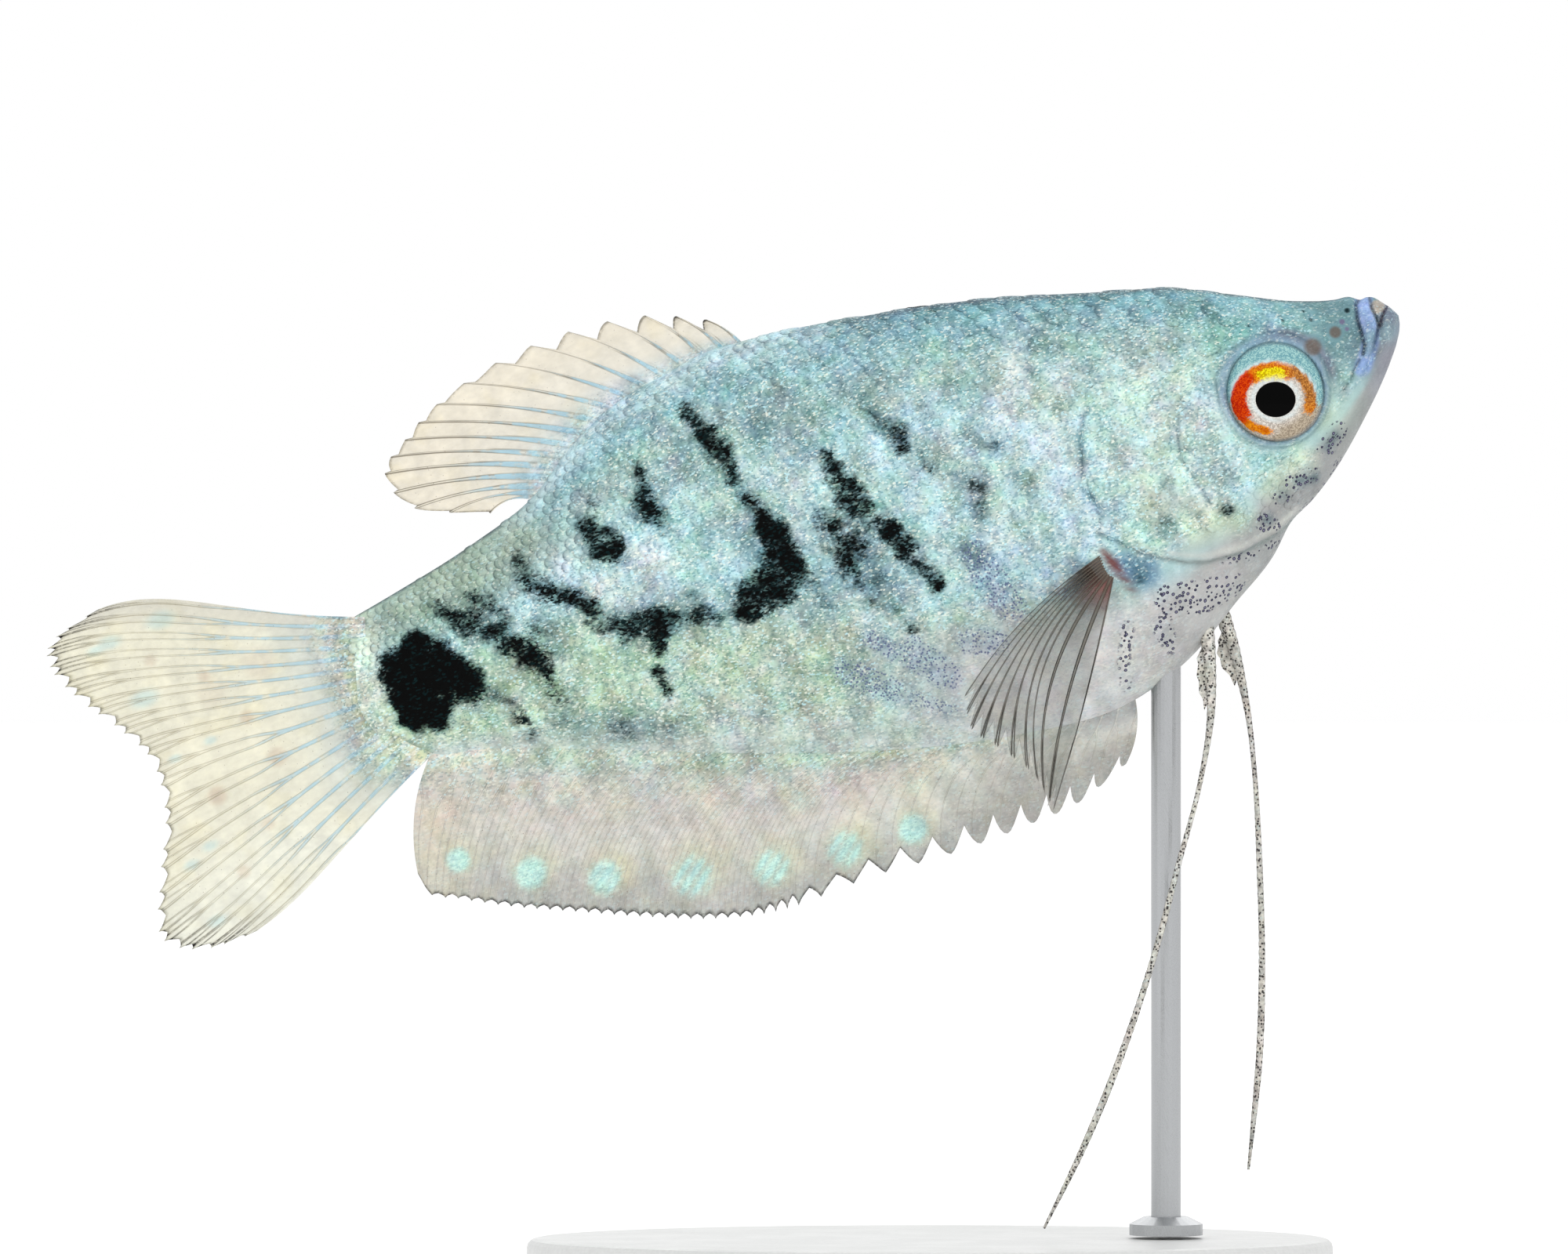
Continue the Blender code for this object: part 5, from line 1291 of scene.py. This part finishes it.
def make_middle_fins():
    """The dorsal, anal and tail fins."""
    grid = fin_grid(DORSAL_RAYS, on_back, 17, 44, 12, notch=0.036, notch_first=0.58, notch_shape=(1.3, 1.3),
                    root_half=0.46, bow=DORSAL_BOW, cut_behind=True)
    paint = fin_material("dorsal_membrane", (128, 120, 108), 0.5, 0.17, blue=0.95)
    fin_piece("dorsal_fin_skin", grid, DORSAL_LOOK, paint, "dorsal_fin")
    grid = fin_grid(ANAL_RAYS, on_belly, anal_ray_places(), 44, 8, notch=0.024, notch_first=0.27,
                    notch_shape=(2.6, 0.55), root_half=0.46, ridge=0.07, bow=ANAL_BOW)
    grid[1].update(anal_spots(grid[1]))
    paint = fin_material("anal_membrane", (158, 152, 144), 0.72, 0.06, forks=ANAL_FORKS, ray_strength=0.7)
    fin_piece("anal_fin_skin", grid, ANAL_LOOK, paint, "anal_fin")
    grid = fin_grid(CAUDAL_RAYS, on_tail_end, 16, 60, 20, notch=0.035, notch_shape=(0.6, 0.6), bow=TAIL_BOW,
                    bow_power=3, forks=TAIL_FORKS, side_at=lambda place, out: TAIL_SWAY * out ** 2,
                    fillet=TAIL_FILLET)
    paint = fin_material("tail_membrane", (146, 136, 112), 0.5, 0.13, forks=TAIL_FORKS, blue=0.8,
                         ray_strength=0.55)
    fin_piece("tail_fin_skin", grid, TAIL_LOOK, paint, "caudal_fin_upper", "caudal_fin_lower")


def make_pectoral(side, sign, material):
    """One pectoral fin, which spreads from the flank."""
    root_side = float(body_half(*map(np.asarray, on_shoulder(0.5))))

    def side_at(place, out):
        clear = smooth(0, PECTORAL_FREE, out)
        sunk = body_half(*on_shoulder(place)) - PECTORAL_ROOT_SUNK
        spread = PECTORAL_SPREAD * (out / 20) * (1 - 0.35 * place)
        return sign * (sunk * (1 - clear) + (root_side + PECTORAL_ROOT_CLEAR) * clear + spread)

    grid = fin_grid(PECTORAL_RAYS, on_shoulder, PECTORAL_RAY_PLACES, 48, 12, notch=0.1, bow=PECTORAL_BOW,
                    root_half=0.3, tip_half=0.08, forks=PECTORAL_FORKS, side_at=side_at)
    fin_piece(f"pectoral_fin_skin_{side}", grid, PECTORAL_LOOK, material, f"pectoral_fin_{side}")


# Feelers


def feeler_tube(route):
    """The points and faces of a feeler's thread, and how far each point lies on its flanks."""
    places = np.linspace(0, 1, FEELER_RINGS)
    centres = world(*read_line(route, places).T)
    along = np.gradient(centres, axis=0)
    along /= np.linalg.norm(along, axis=1)[:, None]
    across = np.cross(along, (0.0, 1.0, 0.0))
    across /= np.linalg.norm(across, axis=1)[:, None]
    beside = np.cross(across, along)
    waves = 1 + FEELER_WAVE * np.sin(places * FEELER_WAVES)
    halves = read_line(FEELER_HALF_WIDTHS, places) * HUNDREDTH * waves
    turn = np.linspace(0, 2 * math.pi, FEELER_AROUND, endpoint=False)
    turned = np.cos(turn)[:, None], FEELER_DEPTH * np.sin(turn)[:, None]
    ring_points = across[:, None] * turned[0] + beside[:, None] * turned[1]
    tube = (centres[:, None] + halves[:, None, None] * ring_points).reshape(-1, 3)
    faces = tube_faces(FEELER_RINGS, FEELER_AROUND)
    faces += [tuple(range(FEELER_AROUND)), tuple(range(len(tube) - FEELER_AROUND, len(tube)))]
    return tube, faces, np.tile(np.abs(np.cos(turn)), FEELER_RINGS)


def feeler_fringe(route, reach):
    """The points and faces of the short soft rays behind a feeler's root."""
    first, last = read_line(route, FRINGE_FIRST), read_line(route, FRINGE_LAST)
    keys = [
        (0.0, 0.0, first[0] + reach, first[1] - reach),
        (0.5, 0.5, first[0] + 1.45 * reach, first[1] - 2.4 * reach),
        (1.0, 1.0, last[0] + 0.7 * reach, last[1] - 0.8 * reach),
    ]
    grid = fin_grid(keys, lambda share: between(first[:2], last[:2], share), 4, 16, 8, notch=0.14,
                    root_half=0.2, tip_half=0.07, ridge=0.07,
                    side_at=lambda place, out: between(first, last, place)[2])
    return closed_sheet(*grid[0])


def make_feeler(side, material):
    """The long thread of one pelvic fin, with the short soft rays behind its root."""
    middle_line = FEELER_LINES[side]
    lengths = np.append(0, np.cumsum(np.linalg.norm(np.diff(middle_line, axis=0), axis=1)))
    route = np.column_stack((lengths / lengths[-1], middle_line))
    tube, faces, flank = feeler_tube(route)
    points, more = feeler_fringe(route, FRINGE_REACH[side])
    faces += [tuple(number + len(tube) for number in face) for face in more]
    values = {"flank": np.append(flank, np.zeros(len(points)))}
    made = make_mesh(f"feeler_{side}", np.vstack((tube, points)), faces, values, {}, 60)
    dress(made, material, "feeler", *(f"feeler_{side}_{part}" for part in ("root", "middle", "tip")))


# Stand


def make_stand_looks(nodes):
    """Pale satin lacquer on the base and brushed steel on the rod."""
    lacquer = Paint("stand_lacquer", Specular_IOR_Level=0.45)
    grain = lacquer.noise(0.35, 4.0)
    lacquer.set(Base_Color=lacquer.mix(grain, tone(206, 207, 206), tone(226, 227, 226)),
                Roughness=lacquer.fit(lacquer.noise(6.0), 0.3, 0.7, 0.34, 0.48))
    lacquer.bump(grain, 0.00003, 0.5)
    steel = Paint("stand_steel", Metallic=1.0)
    lines = steel.noise(0.12, 3.0, along=6.0, across=0.08, deep=6.0)
    steel.set(Base_Color=steel.mix(lines, tone(168, 170, 172), tone(200, 202, 204)),
              Roughness=steel.fit(lines, 0.3, 0.7, 0.24, 0.42))
    steel.bump(lines, 0.00001, 0.5)
    for title, paint in (("stand_base", lacquer), ("stand_rod", steel)):
        nodes[title].material_slots[0].material = paint.material


# Scales


def arc_table():
    """Heights in the side view by distance over the skin from its widest line, along the fish."""
    stations = np.linspace(2.0, 101.4, 500)
    steps = np.linspace(-1, 1, 2 * ARC_STEPS + 1)
    steps = np.sign(steps) * (1 - (1 - np.abs(steps)) ** 1.6)
    middle = read_line(GIRTH, stations)[:, 1]
    top, bottom = read_line(BACK_LINE, stations), read_line(BELLY_LINE, stations)
    middle = middle[:, None]
    up = middle + np.where(steps >= 0, (top[:, None] - middle) * steps, (middle - bottom[:, None]) * steps)
    half = body_half(stations[:, None] + 0 * up, up)
    pieces = np.hypot(np.diff(up, axis=1), np.diff(half, axis=1))
    arcs = np.concatenate((np.zeros((len(stations), 1)), np.cumsum(pieces, axis=1)), axis=1)
    arcs -= arcs[:, [ARC_STEPS]]
    distances = np.arange(-ARC_REACH, ARC_REACH + ARC_STEP / 2, ARC_STEP)
    heights = np.array([np.interp(distances, arc, row) for arc, row in zip(arcs, up)])
    return stations, distances, heights, arcs[:, 0], arcs[:, -1]


def look_up(table, behind, arc):
    """Heights in the side view at places over the skin."""
    stations, distances, heights = table[:3]
    row = np.clip((behind - stations[0]) / (stations[1] - stations[0]), 0, len(stations) - 1.001)
    column = np.clip((arc - distances[0]) / ARC_STEP, 0, len(distances) - 1.001)
    r, c = row.astype(int), column.astype(int)
    fr, fc = row - r, column - c
    lower = heights[r, c] * (1 - fc) + heights[r, c + 1] * fc
    upper = heights[r + 1, c] * (1 - fc) + heights[r + 1, c + 1] * fc
    return lower * (1 - fr) + upper * fr


def scale_spots(table, pitches, chosen):
    """Places (behind, arc, pitch) of the scales of one part of a side, in staggered rows along the fish."""
    stations = np.linspace(pitches[0][0], pitches[-1][0], 600)
    counts = np.concatenate(((0,), np.cumsum(np.diff(stations) / read_line(pitches, stations)[1:])))
    found = []
    for row in range(-ROWS_PER_SIDE, ROWS_PER_SIDE + 1):
        number = np.arange((row % 2) / 2, counts[-1])
        behind = np.interp(number + draw.normal(0, LINE_SHAKE, len(number)), counts, stations)
        pitch = read_line(pitches, behind)
        arc = (row + draw.normal(0, ROW_SHAKE, len(behind))) * pitch * SCALE_WIDTH
        low = np.interp(behind, table[0], table[3]) + BELLY_MARGIN
        high = np.interp(behind, table[0], table[4]) - BACK_MARGIN
        keep = (arc > low) & (arc < high) & chosen(head_measures(behind, look_up(table, behind, arc)))
        found.append(np.column_stack((behind, arc, pitch))[keep])
    return np.concatenate(found)


def on_trunk(at):
    """True where the scales of the trunk and the nape grow."""
    behind, up = at["behind"], at["up"]
    after_cover = ((at["gill_left"] > 0) & (at["gill"] > 0.7)) | (behind > COVER_END)
    nape = (up > NAPE_BOTTOM) & (at["eye"] > NAPE_FROM_EYE) & (behind > NAPE_START) & (behind < COVER_END)
    fin_root = away((33.0, -13.7), behind, up) < 2.1
    breast = (body_height(behind, up) < -0.48 - 0.012 * np.maximum(behind - 33, 0)) & (behind < BREAST_END)
    return ((after_cover & (behind > 22)) | nape) & ~fin_root & ~breast & (behind < TRUNK_END)


def on_face(at):
    """True where the small scales of the cheeks and the gill covers grow."""
    behind, up = at["behind"], at["up"]
    cover = (at["gill_left"] < 0) & (at["gill"] > 0.6) & (up < FACE_TOP) & (up > FACE_BOTTOM)
    front = behind > FACE_START + 0.25 * np.abs(up + 3)
    throat = up > -12.8 + 0.12 * (behind - 20)
    return cover & (behind < FACE_END) & (at["eye"] > FACE_FROM_EYE) & (at["cheek"] > 0.8) & front & throat


def scale_plan():
    """The points of one scale along and across it, of which the last two are its middle, and its faces."""
    turn = np.linspace(0, 2 * math.pi, SCALE_RIM_POINTS, endpoint=False)
    waves = np.cos(turn), np.sin(turn)
    along, across = (np.concatenate((wave, wave * SCALE_INNER_RING, (0, 0))) for wave in waves)
    rim = np.arange(SCALE_RIM_POINTS)
    after = (rim + 1) % SCALE_RIM_POINTS
    inner, inner_after = rim + SCALE_RIM_POINTS, after + SCALE_RIM_POINTS
    top, bottom = np.full_like(rim, len(along) - 2), np.full_like(rim, len(along) - 1)
    rim_faces = (rim, after, inner_after), (rim, inner_after, inner)
    faces = *rim_faces, (inner, inner_after, top), (after, rim, bottom)
    return along, across, np.concatenate([np.stack(corners, axis=-1) for corners in faces])


def raised_scales(roots, along, across, table):
    """The places in the side view and the points of scales, which rise from the skin towards the tail."""
    pitch = roots[:, 2:]
    behind = roots[:, :1] + SCALE_REACH * pitch * along
    arc = roots[:, 1:2] + SCALE_WIDTH * pitch * (SCALE_HALF_WIDTH + SCALE_FLARE * along) * across
    up = look_up(table, behind, arc)
    dome = LIFT_DOME * (1 - np.hypot(along, across)) * (along > DOME_FRONT)
    lift = np.clip(LIFT_MIDDLE + LIFT_TILT * along, *LIFT_LIMITS) + dome
    lift[-1] = LIFT_BOTTOM
    lift = lift * SCALE_LIFT * np.sqrt(pitch) * draw.uniform(*LIFT_RANGE, len(roots))[:, None]
    here = skin_place(behind, up)
    ahead = skin_place(behind + SLOPE_STEP, look_up(table, behind + SLOPE_STEP, arc)) - here
    above = skin_place(behind, look_up(table, behind, arc + SLOPE_STEP)) - here
    normal = np.cross(ahead, above)
    normal /= np.maximum(np.linalg.norm(normal, axis=-1), 1e-12)[..., None]
    normal *= np.where(normal[..., 1:2] < 0, 1, -1)
    return behind, up, here + normal * lift[..., None]


def make_scales(side, side_sign, material, table):
    """The overlapping scales of one side, each a thin closed shield whose hind edge stands free."""
    places = ((SCALE_PITCHES, on_trunk), (FACE_SCALE_PITCHES, on_face))
    roots = np.concatenate([scale_spots(table, pitches, chosen) for pitches, chosen in places])
    along, across, plan = scale_plan()
    behind, up, points = raised_scales(roots, along, across, table)
    points[..., 1] *= -side_sign
    faces = (np.arange(len(roots))[:, None, None] * len(along) + plan).reshape(-1, 3).tolist()
    patch = np.column_stack((along, across)) * SCALE_PATCH / 2
    unwrap = np.column_stack((UNWRAP_START + roots[:, 0] / UNWRAP_LENGTH, 0.5 + roots[:, 1] / UNWRAP_HEIGHT))
    uv = (unwrap[:, None] + patch).reshape(-1, 2)
    values, colours = skin_values(np.ravel(behind), np.ravel(up))
    values["tint"] = np.repeat(draw.uniform(0, 1, len(roots)), len(along))
    rear = np.hypot(along, across) * np.clip(0.4 + 0.6 * along, 0, 1)
    values["rear"] = np.tile(rear, len(roots))
    made = make_mesh(f"scales_{side}", points.reshape(-1, 3), faces, values, colours, 50, uv)
    dress(made, material, "skin")


# Camera, floor and light


def make_floor():
    """A pale floor, which is no piece of the part."""
    bpy.ops.mesh.primitive_circle_add(vertices=96, radius=6.0, fill_type="NGON")
    floor = bpy.context.object
    floor.name = "floor"
    paint = Paint("floor_paint", Base_Color=(0.9, 0.9, 0.9), Roughness=0.85, Specular_IOR_Level=0.1,
                  Emission_Color=(1.0, 1.0, 1.0), Emission_Strength=0.12)
    floor.data.materials.append(paint.material)


def make_camera(scene):
    """A camera at the photograph's viewing angle."""
    camera = bpy.data.cameras.new("camera")
    camera.sensor_width = SENSOR_WIDTH
    camera.lens = SENSOR_WIDTH * CAMERA_DISTANCE / PHOTO_WIDTH
    camera.clip_start = 0.01
    holder = bpy.data.objects.new("camera", camera)
    holder.location = (PHOTO_MIDDLE[0], -CAMERA_DISTANCE, PHOTO_MIDDLE[1])
    holder.rotation_euler = (math.pi / 2, 0, 0)
    scene.collection.objects.link(holder)
    scene.camera = holder


def make_light(scene):
    """Square lamps and an even white sky."""
    for name, spot, size, power in LAMPS:
        lamp = bpy.data.lights.new(name, "AREA")
        lamp.shape = "SQUARE"
        lamp.size = size
        lamp.energy = power
        shown = bpy.data.objects.new(name, lamp)
        aim = (Vector(LAMP_TARGET) - Vector(spot)).to_track_quat("-Z", "Y")
        shown.matrix_world = Matrix.Translation(spot) @ aim.to_matrix().to_4x4()
        scene.collection.objects.link(shown)
    scene.world = bpy.data.worlds.new("world")
    scene.world.use_nodes = True
    sky = scene.world.node_tree.nodes["Background"]
    sky.inputs[0].default_value = (1.0, 1.0, 1.0, 1.0)
    sky.inputs[1].default_value = 1.0
    scene.view_settings.view_transform = "Standard"


make_floor()
make_camera(bpy.context.scene)
make_light(bpy.context.scene)
make_skin()
eye_paint = eye_material()
for side, sign in SIDES:
    make_eye(side, sign, eye_paint)
make_middle_fins()
pectoral_paint = fin_material("pectoral_membrane", (26, 23, 20), 0.2, 0.11, forks=PECTORAL_FORKS,
                              root_clear=0.75, ray_strength=1.0, core=(104, 96, 84), core_share=0.8)
for side, sign in SIDES:
    make_pectoral(side, sign, pectoral_paint)
feeler_paint = feeler_material()
for side, _ in SIDES:
    make_feeler(side, feeler_paint)
make_stand_looks(frame["nodes"])
scale_paint = skin_material("fish_scales", 0.4, scales=True)
scale_table = arc_table()
for side, sign in SIDES:
    make_scales(side, sign, scale_paint, scale_table)
